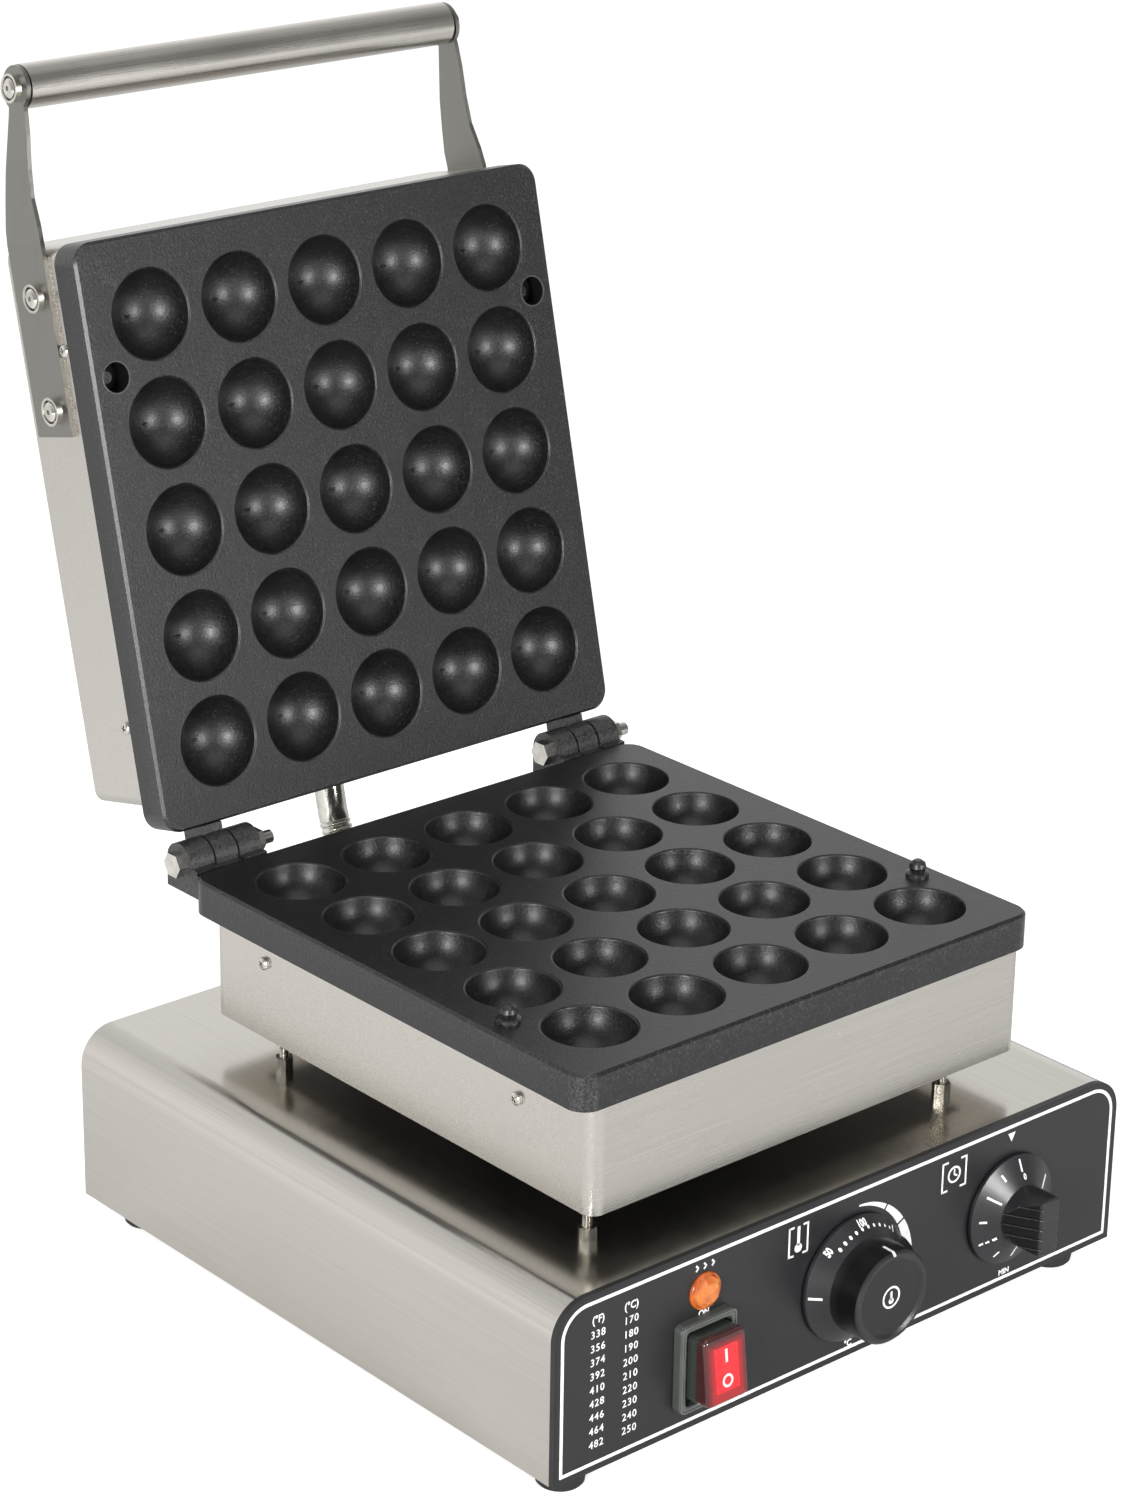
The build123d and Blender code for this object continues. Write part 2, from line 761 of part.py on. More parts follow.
def front_panel():
    """Panel plate with the holes of its controls."""
    body = run_back(base_section(0), panel_front, base_front)
    out = (0, 1, 0)
    for x in (thermostat_x, timer_x):
        body -= rod((x, panel_front - 1, knob_z), out, 8, bush_radius + tight_gap)
    body -= rod((lamp_x, panel_front - 1, lamp_z), out, 8, lamp_stem + tight_gap)
    half_w = switch_stem[0] / 2 + tight_gap
    half_h = switch_stem[1] / 2 + tight_gap
    body -= slab((switch_x - half_w, switch_x + half_w), (panel_front - 1, base_front + 1),
                 (switch_z - half_h, switch_z + half_h))
    return body


def control_body(x, width, depth, height):
    """Body of a thermostat or timer behind the panel, with a bush through the panel for its shaft."""
    body = slab((x - width / 2, x + width / 2), (base_front, base_front + depth),
                (knob_z - height / 2, knob_z + height / 2), 1.5)
    body += rod((x, base_front + 1, knob_z), (0, -1, 0), panel_thickness + 1, bush_radius)
    body -= rod((x, panel_front - 1, knob_z), (0, 1, 0), shaft_depth + 1.5, shaft_radius + running_gap)
    return body


def control_shaft(x):
    """Shaft from inside a control's body to inside its knob."""
    return rod((x, panel_front + shaft_depth, knob_z), (0, -1, 0), shaft_depth + shaft_stand, shaft_radius)


def temperature_knob():
    """Round grip on a conical skirt."""
    back = knob_panel_gap
    face = knob_reach
    outline = [(shaft_radius, back), (thermostat_skirt_radius, back),
               (thermostat_skirt_radius, back + skirt_rim_thickness),
               (grip_base_radius, back + thermostat_skirt_rise), (grip_face_radius, face - 1.2),
               (grip_face_radius - 1.2, face), (grip_face_radius - 2.6, face),
               (grip_face_radius - 4.0, face - 0.9), (0, face - 0.9),
               (0, shaft_stand), (shaft_radius, shaft_stand)]
    return turned(outline, (thermostat_x, panel_front, knob_z), (0, -1, 0))


def timer_knob():
    """Bar grip with ribbed flanks on a conical skirt."""
    back = knob_panel_gap
    skirt = back + timer_skirt_rise
    grip = timer_grip_radius
    outline = [(shaft_radius, back), (timer_skirt_radius, back),
               (timer_skirt_radius, back + skirt_rim_thickness), (grip, skirt), (shaft_radius, skirt)]
    body = turned(outline, (0, 0, 0), (0, 0, 1))
    bar = rod((0, 0, skirt - 1), (0, 0, 1), knob_reach - skirt + 1, grip)
    half = timer_bar_width / 2
    flanks = Polyline((-grip, 0, back), (grip, 0, back), (grip, 0, skirt), (half, 0, knob_reach),
                      (-half, 0, knob_reach), (-grip, 0, skirt), close=True)
    bar &= extrude(Pos(0, -grip, 0) * make_face(flanks), 2 * grip, dir=(0, 1, 0))
    bar = fillet(bar.faces().sort_by(Axis.Z)[-1].edges(), 1.0)
    ribs = int(2 * grip / timer_rib_pitch)
    for side in (-1, 1):
        for i in range(ribs):
            y = timer_rib_pitch * (i - (ribs - 1) / 2)
            along = (side * (half - grip), 0, knob_reach - skirt)
            bar -= rod((side * (grip + 0.4), y, skirt), along, 2 * knob_reach, timer_rib_radius)
    body += bar
    body -= rod((0, 0, back - 1), (0, 0, 1), shaft_stand + 1 - back, shaft_radius)
    place = Plane(origin=(timer_x, panel_front, knob_z), x_dir=(1, 0, 0), z_dir=(0, -1, 0)).location
    return place * body


def lamp_lens():
    """Orange lens of the pilot lamp, a faceted dome with a short stem."""
    proud = lamp_proud
    outline = [(0, -8), (lamp_stem, -8), (lamp_stem, 0), (lamp_radius, 0), (lamp_radius, 1.2),
               (0.8 * lamp_radius, proud - 0.6), (0.55 * lamp_radius, proud), (0, proud)]
    return turned(outline, (lamp_x, panel_front, lamp_z), (0, -1, 0))


def lamp_body():
    """Housing of the pilot lamp behind the panel."""
    return rod((lamp_x, panel_front + 8, lamp_z), (0, 1, 0), 18, lamp_stem)


def lamp_nut():
    """Ring nut that holds the lamp against the back of the panel."""
    return rod((lamp_x, base_front, lamp_z), (0, 1, 0), 3, lamp_radius + 1, lamp_stem + running_gap)


def switch_case():
    """Frame of the rocker switch and its case behind the panel, one moulding."""
    half_w = switch_width / 2
    half_h = switch_height / 2
    bezel = slab((-half_w, half_w), (-half_h, half_h), (0, switch_proud), 3.0)
    bezel = fillet(bezel.faces().sort_by(Axis.Z)[-1].edges(), 1.2)
    stem_w = switch_stem[0] / 2
    stem_h = switch_stem[1] / 2
    stem = slab((-stem_w, stem_w), (-stem_h, stem_h), (-switch_depth, 0.5), 1.0)
    room_w = rocker_width / 2 + rocker_side_gap
    room_h = rocker_height / 2 + rocker_end_gap
    room = slab((-room_w, room_w), (-room_h, room_h), (-rocker_back - 3.5, switch_proud + 1), 2.0)
    pivot_reach = room_w + pivot_end + tight_gap
    pivot = rod((-pivot_reach, 0, 0), (1, 0, 0), 2 * pivot_reach, pivot_radius + running_gap)
    return Pos(switch_x, panel_front, switch_z) * Rot(90, 0, 0) * (bezel + stem - room - pivot)


def rocker():
    """Rocker of the switch, tilted as it stands when on, with its two pivot stubs."""
    body = slab((-rocker_width / 2, rocker_width / 2), (-rocker_height / 2, rocker_height / 2),
                (-rocker_back, rocker_proud), 2.5)
    body = fillet(body.faces().sort_by(Axis.Z)[-1].edges(), 1.6)
    reach = rocker_width / 2 + rocker_side_gap + pivot_end
    body += rod((-reach, 0, 0), (1, 0, 0), 2 * reach, pivot_radius)
    return Pos(switch_x, panel_front, switch_z) * Rot(90, 0, 0) * Rot(-rocker_tilt, 0, 0) * body


def switch_blades():
    """Three connection blades at the back of the switch."""
    back = panel_front + switch_depth
    across = (switch_x - blade_width / 2, switch_x + blade_width / 2)
    half = blade_thickness / 2
    return [slab(across, (back, back + blade_length), (switch_z + z - half, switch_z + z + half))
            for z in (-blade_pitch, 0.0, blade_pitch)]


# Thermostat feeler and base wiring

def smooth_path(points):
    """Straight runs joined by arcs, each as large as its two runs allow."""
    vectors = [Vector(*point) for point in points]
    radii = []
    for before, at, after in zip(vectors, vectors[1:], vectors[2:]):
        turn = radians((at - before).get_angle(after - at))
        shorter = min((at - before).length, (after - at).length)
        radii.append(0.45 * shorter / tan(turn / 2))
    print("radii", [round(radius, 1) for radius in radii])
    return FilletPolyline(*vectors, radius=radii)


def thermostat_feeler():
    """Feeler bulb under the lower plate with its capillary down to the thermostat."""
    z = plate_bottom - bulb_radius - tight_gap
    bulb = rod((bulb_x, bulb_y[0], z), (0, 1, 0), bulb_y[1] - bulb_y[0], bulb_radius)
    low = housing_bottom + 26
    down = base_top - 30
    behind = base_front + 35
    points = [(bulb_x, bulb_y[1], z), (bulb_x, bulb_y[1] + 14, z - 2), (bulb_x - 4, bulb_y[1] + 18, low),
              (bulb_x - 30, 40, low - 1), (0, bushing_y, low), (0, bushing_y, down + 20),
              (2, bushing_y - 8, down), (3, 10, down - 4), (1, -50, down - 6),
              (thermostat_x, behind + 14, knob_z + 4), (thermostat_x, behind, knob_z + 4)]
    path = smooth_path(points)
    start = Plane(origin=path @ 0, z_dir=path % 0)
    return bulb + sweep(start * Circle(capillary_radius), path=path)


def terminal_block():
    """Ceramic block on the bottom plate where the wires meet."""
    seat = base_bottom + base_wall + bottom_plate_thickness
    x, y = terminal_place
    body = slab((x - 24, x + 24), (y - 10, y + 10), (seat, seat + 16), 1.5)
    body -= [rod((x + i * 15, y, seat + 20), (0, 0, -1), 12, 3.2) for i in (-1, 0, 1)]
    return body


def terminal_screws():
    """Screws of the terminal block."""
    seat = base_bottom + base_wall + bottom_plate_thickness + 8
    x, y = terminal_place
    return [pan_screw((x + i * 15, y, seat + 3), (0, 0, 1), 3.0, 2.0, 1.5, 3.0) for i in (-1, 0, 1)]


def cord_gland():
    """Gland in the back of the base where the supply cord goes in."""
    outline = [(4.5, -10), (cord_gland_hole - 0.2, -10), (cord_gland_hole - 0.2, 0), (11, 0), (11, 4),
               (10, 5), (9, 13), (7.5, 14), (4.5, 14)]
    return turned(outline, (cord_gland_x, base_back, cord_gland_z), (0, 1, 0))


def cord_gland_nut():
    """Nut of the cord gland, inside the base."""
    return hexagon((cord_gland_x, base_back - base_wall, cord_gland_z), (0, -1, 0), 4, 21, cord_gland_hole)


# Flexible conduit to the lid

def lid_gland_seat():
    """Point of the open lid's back face where the conduit goes in, and the way out of the face."""
    turn = -radians(lid_open)
    dy = housing_back - hinge_y
    dz = plate_top + conduit_lid_height - hinge_z
    point = (conduit_x, hinge_y + dy * cos(turn) - dz * sin(turn), hinge_z + dy * sin(turn) + dz * cos(turn))
    return point, (0, cos(turn), sin(turn))


def conduit_route():
    """Points, headings and turns of the conduit: up from the base, a lean to the back, up into the lid."""
    seat, out = lid_gland_seat()
    end_y = seat[1] + gland_height * out[1]
    end_z = seat[2] + gland_height * out[2]
    start = (conduit_start_y, base_top + gland_height)
    lean = radians(conduit_lean)
    last = radians(lid_open - 90)
    free_y = end_y - start[0] - conduit_lid_stub * sin(last)
    free_z = end_z - start[1] - conduit_base_stub - conduit_lid_stub * cos(last)
    across = (1 - cos(lean)) + (cos(last) - cos(lean))
    along = sin(lean) + (sin(lean) - sin(last))
    bend = (free_y * cos(lean) - free_z * sin(lean)) / (across * cos(lean) - along * sin(lean))
    slope = (free_z - bend * along) / cos(lean)
    return start, bend, slope, lean, last


def conduit_place(s):
    """Point and heading from the vertical of the conduit's axis at a length along it."""
    (y, z), bend, slope, lean, last = conduit_route()
    pieces = [(conduit_base_stub, 0.0, 0.0), (bend * lean, 0.0, lean), (slope, lean, lean),
              (bend * (lean - last), lean, last), (conduit_lid_stub, last, last)]
    for length, before, after in pieces:
        part = min(s, length)
        if after == before:
            y += part * sin(before)
            z += part * cos(before)
            heading = before
        else:
            radius = length / (after - before)
            heading = before + (after - before) * part / length
            y += radius * (cos(before) - cos(heading))
            z += radius * (sin(heading) - sin(before))
        s -= part
        if s <= 0:
            break
    return y, z, heading


def conduit_circle(s, radius):
    """Circle around the conduit's axis, its x axis always along +X."""
    y, z, heading = conduit_place(s)
    plane = Plane(origin=(conduit_x, y, z), x_dir=(1, 0, 0), z_dir=(0, sin(heading), cos(heading)))
    return plane * Circle(radius)


def conduit():
    """Flexible metal conduit with its ribs and bore."""
    start, bend, slope, lean, last = conduit_route()
    total = conduit_base_stub + bend * lean + slope + bend * (lean - last) + conduit_lid_stub
    plain = conduit_rib
    count = round((total - 2 * plain) / conduit_rib)
    pitch = (total - 2 * plain) / count
    stations = [(0, conduit_radius), (plain, conduit_radius)]
    for i in range(count):
        at = plain + i * pitch
        stations += [(at + share * pitch, conduit_root) for share in (0.15, 0.4)]
        stations += [(at + share * pitch, conduit_radius) for share in (0.6, 0.95)]
    stations.append((total, conduit_radius))
    outside = loft([conduit_circle(s, radius) for s, radius in stations], ruled=True)
    inside = loft([conduit_circle(s, conduit_bore) for s, radius in stations], ruled=True)
    print("conduit length", round(total, 1), "bend", round(bend, 1), "slope", round(slope, 1), "ribs", count)
    return outside - inside


def gland(seat, direction):
    """Conduit gland: a hexagon on the sheet with a collar, and a hole for the wires."""
    body = hexagon(seat, direction, gland_nut_height, 2 * gland_radius)
    body += rod(seat, direction, gland_height, conduit_radius + 1.0)
    back = [-part for part in direction]
    body += rod(seat, back, 5.0, conduit_root - running_gap)
    start = [seat[i] - 6 * direction[i] for i in range(3)]
    return body - rod(start, direction, gland_height + 12, conduit_bore)


def gland_nut(seat, direction):
    """Nut of a conduit gland on the other side of its sheet."""
    back = [-part for part in direction]
    return hexagon(seat, back, 3.0, 2 * gland_radius, conduit_root)


# Handle

def arm_outline():
    """Outline of a handle arm in y and z, flat, without its eye."""
    front = -plate_length / 2
    points = [(arm_back, height) for height in arm_heights]
    points += [(front - ahead, height) for ahead, height in arm_neck]
    return [(0, y, plate_top + height) for y, height in points]


def handle_arm(side):
    """Flat steel arm, bent slightly inwards in front of the housing, with an eye at its end."""
    sheet = extrude(make_face(Polyline(*arm_outline(), close=True)), arm_thickness, dir=(1, 0, 0))
    eye = rod((0, handle_y, handle_rise), (1, 0, 0), arm_thickness, handle_radius)
    flat = Pos(housing_side, 0, 0) * (sheet + eye)
    far = slab((0, 2 * housing_side), (2 * handle_y, arm_bend_y), (0, 2 * lid_top))
    near = slab((0, 2 * housing_side), (arm_bend_y, 0), (0, 2 * lid_top))
    straight = flat & near
    bent = (flat & far).rotate(Axis((arm_outside, arm_bend_y, 0), (0, 0, 1)), -arm_bend)
    body = straight + bent
    hole = arm_screw_radius + running_gap
    body -= eye_place() * Pos(0, 0, -arm_thickness - 5) * Cylinder(hole, 30)
    height = plate_top + arm_screw_height
    body -= [rod((housing_side - 1, y, height), (1, 0, 0), 6, hole) for y in arm_screw_y]
    return mirrored(body, side)


def eye_place():
    """Place of the right arm's eye on its outer face, z pointing out of it."""
    turn = radians(arm_bend)
    out = Vector(cos(turn), -sin(turn), 0)
    forward = Vector(-sin(turn), -cos(turn), 0)
    point = Vector(arm_outside, arm_bend_y, handle_rise) + forward * arm_reach
    return Plane(origin=point, x_dir=(0, 0, 1), z_dir=out).location


def cup(seat, direction):
    """Dished cup washer around a screw's head."""
    bore = arm_screw_radius + tight_gap
    outline = [(bore, 0), (cup_radius - cup_flare, 0), (cup_radius, cup_height),
               (cup_radius - cup_wall, cup_height), (cup_radius - cup_flare - cup_wall, cup_wall),
               (bore, cup_wall)]
    return turned(outline, seat, direction)


def mirrored(shape, side):
    """A piece of the right side, or its mirror image on the left."""
    return shape if side > 0 else mirror(shape, Plane.YZ)


def arm_places():
    """Seats of the arm screws on the right arm."""
    return [(arm_outside, y, plate_top + arm_screw_height) for y in arm_screw_y]


def handle_tube():
    """Stainless handle tube between the arms."""
    half = eye_inside() - tight_gap
    start = (-half, handle_y, handle_rise)
    return rod(start, (1, 0, 0), 2 * half, handle_radius, handle_radius - handle_wall)


def eye_inside():
    """Distance from the middle to the inner face of an arm at the tube's nearest edge."""
    turn = radians(arm_bend)
    reach = arm_bend_y - (handle_y - handle_radius)
    return arm_outside - arm_thickness / cos(turn) - reach * tan(turn)


def handle_plug(side):
    """Threaded plug in an end of the handle tube."""
    half = eye_inside() - tight_gap
    radius = handle_radius - handle_wall - tight_gap / 2
    body = rod((half, handle_y, handle_rise), (-1, 0, 0), plug_length, radius)
    body -= eye_place() * Cylinder(arm_screw_radius + running_gap, 60)
    return mirrored(body, side)


def eye_screw_and_cup(side):
    """Screw and cup washer at one end of the handle."""
    place = eye_place()
    washer = place * cup((0, 0, 0), (0, 0, 1))
    screw = place * arm_screw((0, 0, cup_wall), (0, 0, 1), eye_screw_length)
    return mirrored(screw, side), mirrored(washer, side)


def arm_screw(seat, direction, length):
    """Screw that sits in a cup washer on a handle arm."""
    return pan_screw(seat, direction, arm_screw_head, arm_screw_head_height, arm_screw_radius, length)


def arm_nut(y, z):
    """Nut of an arm screw, inside the right wall of the lid housing."""
    seat = (housing_side - housing_wall, y, z)
    return hexagon(seat, (-1, 0, 0), arm_nut_height, arm_nut_flats, arm_screw_radius + running_gap)


def main():
    """Build and save every piece."""
    os.makedirs("parts", exist_ok=True)
    sides = (-1, 1)

    write("base_shell", base_shell())
    write("base_bottom_plate", bottom_plate())
    write("front_panel", front_panel())
    write("feet", *[foot(x, y) for x, y in foot_places()])
    write("foot_screws", *[foot_screw(x, y) for x, y in foot_places()])
    write("foot_nuts", *[foot_nut(x, y) for x, y in foot_places()])
    write("support_studs", *studs())
    write("support_nuts", *support_nuts())
    write("wire_bushing", wire_bushing())

    write("lower_housing", lower_housing())
    write("lower_housing_floor", housing_floor())
    write("lower_housing_screws", *[side_screw(side, y, plate_bottom - side_screw_z)
                                    for side in sides for y in (-side_screw_y, side_screw_y)])
    floor_top = housing_bottom + housing_wall + floor_thickness
    stud_clear = [(x, y, 7.0) for x in stud_x for y in stud_y] + [(0, bushing_y, bushing_radius + 2)]
    write("lower_insulation", wool((floor_top + wool_gap, floor_top + wool_thickness), stud_clear))
    write("lower_plate", lower_plate())
    write("alignment_pegs", *[alignment_peg(side) for side in sides])
    write("lower_heater", *placed([heater_tube()], False))
    write("lower_heater_beads", *placed(heater_beads(), False))
    write("lower_heater_pins", *placed(heater_pins(), False))
    write("lower_heater_clamps", *placed(heater_clamps(), False))
    write("lower_clamp_screws", *placed(clamp_screws(), False))
    write("hinge_bolts", *[hinge_bolt(side) for side in sides])
    write("hinge_nuts", *[hinge_nut(side) for side in sides])

    write("thermostat_body", control_body(thermostat_x, *thermostat_body_size))
    write("thermostat_feeler", thermostat_feeler())
    write("timer_body", control_body(timer_x, *timer_body_size))
    write("pilot_lamp_lens", lamp_lens())
    write("pilot_lamp_body", lamp_body())
    write("pilot_lamp_nut", lamp_nut())
    write("switch_case", switch_case())
    write("switch_blades", *switch_blades())
    write("switch_rocker", rocker())
    write("terminal_block", terminal_block())
    write("terminal_screws", *terminal_screws())
    write("cord_gland", cord_gland())
    write("cord_gland_nut", cord_gland_nut())
    write("temperature_knob", temperature_knob())
    write("thermostat_shaft", control_shaft(thermostat_x))
    write("timer_knob", timer_knob())
    write("timer_shaft", control_shaft(timer_x))

    base_seat = (conduit_x, conduit_start_y, base_top)
    lid_seat, lid_out = lid_gland_seat()
    write("conduit", conduit())
    write("base_conduit_gland", gland(base_seat, (0, 0, 1)))
    write("base_gland_nut", gland_nut((conduit_x, conduit_start_y, base_top - base_wall), (0, 0, 1)))
    write("lid_conduit_gland", gland(lid_seat, lid_out))
    inside = [lid_seat[i] - housing_wall * lid_out[i] for i in range(3)]
    write("lid_gland_nut", gland_nut(inside, lid_out))

    write("upper_plate", in_lid(upper_plate()))
    write("upper_housing", in_lid(upper_housing()))
    write("upper_housing_screws", *[in_lid(side_screw(side, y, lid_plate_top + side_screw_z))
                                    for side in sides for y in (-side_screw_y, side_screw_y)])
    lid_wool = wool((lid_top - housing_wall - lid_wool_thickness, lid_top - housing_wall - wool_gap), [])
    write("upper_insulation", in_lid(lid_wool))
    write("upper_heater", *placed([heater_tube()], True))
    write("upper_heater_beads", *placed(heater_beads(), True))
    write("upper_heater_pins", *placed(heater_pins(), True))
    write("upper_heater_clamps", *placed(heater_clamps(), True))
    write("upper_clamp_screws", *placed(clamp_screws(), True))

    write("handle_arm_left", in_lid(handle_arm(-1)))
    write("handle_arm_right", in_lid(handle_arm(1)))
    write("handle_tube", in_lid(handle_tube()))
    write("handle_plugs", *[in_lid(handle_plug(side)) for side in sides])
    ends = [eye_screw_and_cup(side) for side in sides]
    screws = [mirrored(arm_screw((x + cup_wall, y, z), (1, 0, 0), arm_screw_length), side)
              for side in sides for x, y, z in arm_places()]
    cups = [mirrored(cup(seat, (1, 0, 0)), side) for side in sides for seat in arm_places()]
    nuts = [mirrored(arm_nut(y, z), side) for side in sides for x, y, z in arm_places()]
    write("handle_screws", *[in_lid(screw) for screw in screws + [end[0] for end in ends]])
    write("handle_cup_washers", *[in_lid(one) for one in cups + [end[1] for end in ends]])
    write("handle_nuts", *[in_lid(nut) for nut in nuts])

    print("origin_y", round(origin_y, 4), "hinge", round(hinge_y - origin_y, 4), round(hinge_z, 4))
    print("panel front y", round(panel_front - origin_y, 4), "plate top", plate_top, "base top", base_top)


main()
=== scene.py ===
import json
from math import cos, pi, radians, sin, sqrt

import bmesh
import bpy
from mathutils import Matrix, Vector


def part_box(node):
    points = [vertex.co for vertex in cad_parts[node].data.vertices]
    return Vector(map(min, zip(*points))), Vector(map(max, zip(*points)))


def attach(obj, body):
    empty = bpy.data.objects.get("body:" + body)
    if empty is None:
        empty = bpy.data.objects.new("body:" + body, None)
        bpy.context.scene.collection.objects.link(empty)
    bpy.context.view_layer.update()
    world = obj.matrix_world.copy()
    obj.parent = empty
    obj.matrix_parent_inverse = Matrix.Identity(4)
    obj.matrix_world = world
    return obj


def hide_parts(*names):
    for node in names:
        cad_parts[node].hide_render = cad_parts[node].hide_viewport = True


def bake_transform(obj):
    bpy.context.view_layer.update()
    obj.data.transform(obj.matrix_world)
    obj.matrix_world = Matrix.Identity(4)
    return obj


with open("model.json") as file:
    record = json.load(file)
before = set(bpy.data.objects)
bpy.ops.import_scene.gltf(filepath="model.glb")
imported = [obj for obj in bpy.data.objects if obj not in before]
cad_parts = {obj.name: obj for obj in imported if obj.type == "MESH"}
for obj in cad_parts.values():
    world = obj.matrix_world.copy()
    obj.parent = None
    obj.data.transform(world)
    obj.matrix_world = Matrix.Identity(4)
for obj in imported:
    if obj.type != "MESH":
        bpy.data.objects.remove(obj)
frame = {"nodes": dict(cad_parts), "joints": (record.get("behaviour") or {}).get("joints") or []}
nodes = frame["nodes"]
joints = {joint["name"]: joint for joint in frame["joints"]}
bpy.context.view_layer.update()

# Real sizes in millimetres, worked out from the frame's boxes where a node gives them
MM = 0.001
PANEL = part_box("front_panel")
PANEL_FACE = PANEL[0].y
KNOB_T = Vector(joints["temperature_turn"]["pos_m"])
KNOB_M = Vector(joints["timer_turn"]["pos_m"])
ROCKER = Vector(joints["rocker_tilt"]["pos_m"])
HINGE = Vector(joints["lid_hinge"]["pos_m"])
LID_OPEN = radians(joints["lid_hinge"]["range_deg"][1])
LID_FACE = HINGE.z - 0.1 * MM
PLATE_MIDDLE = HINGE.y - 138.6 * MM
ROCKER_REST = -7.0
FRONT = Vector((0, -1, 0))
RIGHT = Vector((1, 0, 0))
UP = Vector((0, 0, 1))

# Heights over the panel between which the side of a knob's grip turns into its face
GRIP_SIDE, GRIP_FACE = 22.7 * MM, 23.3 * MM
# Sockets of the lid's casting, from the middle of its face
SOCKET_X, SOCKET_Y = 114.0 * MM, 69.0 * MM
# Hose: lean and bend of its middle, its ribs, and where its plain sleeve starts
HOSE_LEAN = radians(40.0)
HOSE_BEND = 40.9 * MM
HOSE_RIBS = 27
SLEEVE_START = 57 * MM
# Camera: focal length in millimetres, azimuth, elevation and roll in degrees, place from the plates' middle
CAMERA_LENS = 126.50
CAMERA_ANGLES = (-41.3027, 21.4266, 0.8559)
CAMERA_PLACE = (-1018.7 * MM, -1127.4 * MM, 826.3 * MM)
# Strength of the world's light in front, behind and overhead, and of the floor's on the left
FRONT_GLOW, BACK_GLOW, OVERHEAD_GLOW = 0.25, 1.3, 0.6
LEFT_FLOOR_GLOW = 0.3
# Thickness of ink
INK = 0.00006


def linear(value):
    """A colour value as seen, 0 to 255, in linear light."""
    share = value / 255
    return share / 12.92 if share <= 0.04045 else ((share + 0.055) / 1.055) ** 2.4


def colour(red, green, blue):
    """A colour as seen in linear light with alpha."""
    return (linear(red), linear(green), linear(blue), 1.0)


def toned(shade, factor):
    """A colour made darker or lighter."""
    return tuple(min(1.0, factor * part) for part in shade[:3]) + (1.0,)


# Materials

def new_material(name):
    """Material with its node tree, its shader and its object coordinates."""
    material = bpy.data.materials.new(name)
    material.use_nodes = True
    tree = material.node_tree
    shader = tree.nodes["Principled BSDF"]
    place = tree.nodes.new("ShaderNodeTexCoord").outputs["Object"]
    return material, tree, shader, place


def stretched(tree, place, scale):
    """Coordinates scaled for each axis."""
    mapping = tree.nodes.new("ShaderNodeMapping")
    mapping.inputs["Scale"].default_value = scale
    tree.links.new(place, mapping.inputs["Vector"])
    return mapping.outputs["Vector"]


def noise(tree, vector, scale, detail=2.0, roughness=0.5):
    """Noise between 0 and 1."""
    node = tree.nodes.new("ShaderNodeTexNoise")
    node.inputs["Scale"].default_value = scale
    node.inputs["Detail"].default_value = detail
    node.inputs["Roughness"].default_value = roughness
    tree.links.new(vector, node.inputs["Vector"])
    return node.outputs["Fac"]


def ranged(tree, value, low, high, start=0.0, end=1.0):
    """Value spread from one range to another."""
    node = tree.nodes.new("ShaderNodeMapRange")
    node.inputs["From Min"].default_value = start
    node.inputs["From Max"].default_value = end
    node.inputs["To Min"].default_value = low
    node.inputs["To Max"].default_value = high
    tree.links.new(value, node.inputs["Value"])
    return node.outputs["Result"]


def ramp(tree, value, stops):
    """Colours along a value."""
    node = tree.nodes.new("ShaderNodeValToRGB")
    elements = node.color_ramp.elements
    elements[0].position, elements[0].color = stops[0]
    elements[1].position, elements[1].color = stops[-1]
    for position, shade in stops[1:-1]:
        elements.new(position).color = shade
    tree.links.new(value, node.inputs["Fac"])
    return node.outputs["Color"]


def summed(tree, first, second, operation="ADD", factor=None):
    """Two values joined by an operation."""
    node = tree.nodes.new("ShaderNodeMath")
    node.operation = operation
    tree.links.new(first, node.inputs[0])
    if second is None:
        node.inputs[1].default_value = factor
    else:
        tree.links.new(second, node.inputs[1])
    return node.outputs[0]


def vector_math(tree, operation, vector, other=None):
    """A vector changed by an operation, with a constant where it needs one."""
    node = tree.nodes.new("ShaderNodeVectorMath")
    node.operation = operation
    tree.links.new(vector, node.inputs[0])
    if other is not None:
        node.inputs[1].default_value = other
    return node.outputs["Value" if operation == "LENGTH" else "Vector"]


def separated(tree, vector):
    """The X, Y and Z outputs of a vector."""
    node = tree.nodes.new("ShaderNodeSeparateXYZ")
    tree.links.new(vector, node.inputs[0])
    return node.outputs


def bump(tree, shader, height, strength, distance, before=None):
    """Bump on a shader's normal."""
    node = tree.nodes.new("ShaderNodeBump")
    node.inputs["Strength"].default_value = strength
    node.inputs["Distance"].default_value = distance
    tree.links.new(height, node.inputs["Height"])
    if before is not None:
        tree.links.new(before, node.inputs["Normal"])
    if shader is not None:
        tree.links.new(node.outputs["Normal"], shader.inputs["Normal"])
    return node.outputs["Normal"]


def coat(shader, weight, rough):
    """Clear coat over a shader."""
    shader.inputs["Coat Weight"].default_value = weight
    shader.inputs["Coat Roughness"].default_value = rough


def edge_wear(tree, low=0.0, high=1.0):
    """Value that rises on convex edges."""
    geometry = tree.nodes.new("ShaderNodeNewGeometry")
    return ranged(tree, geometry.outputs["Pointiness"], low, high, 0.52, 0.62)


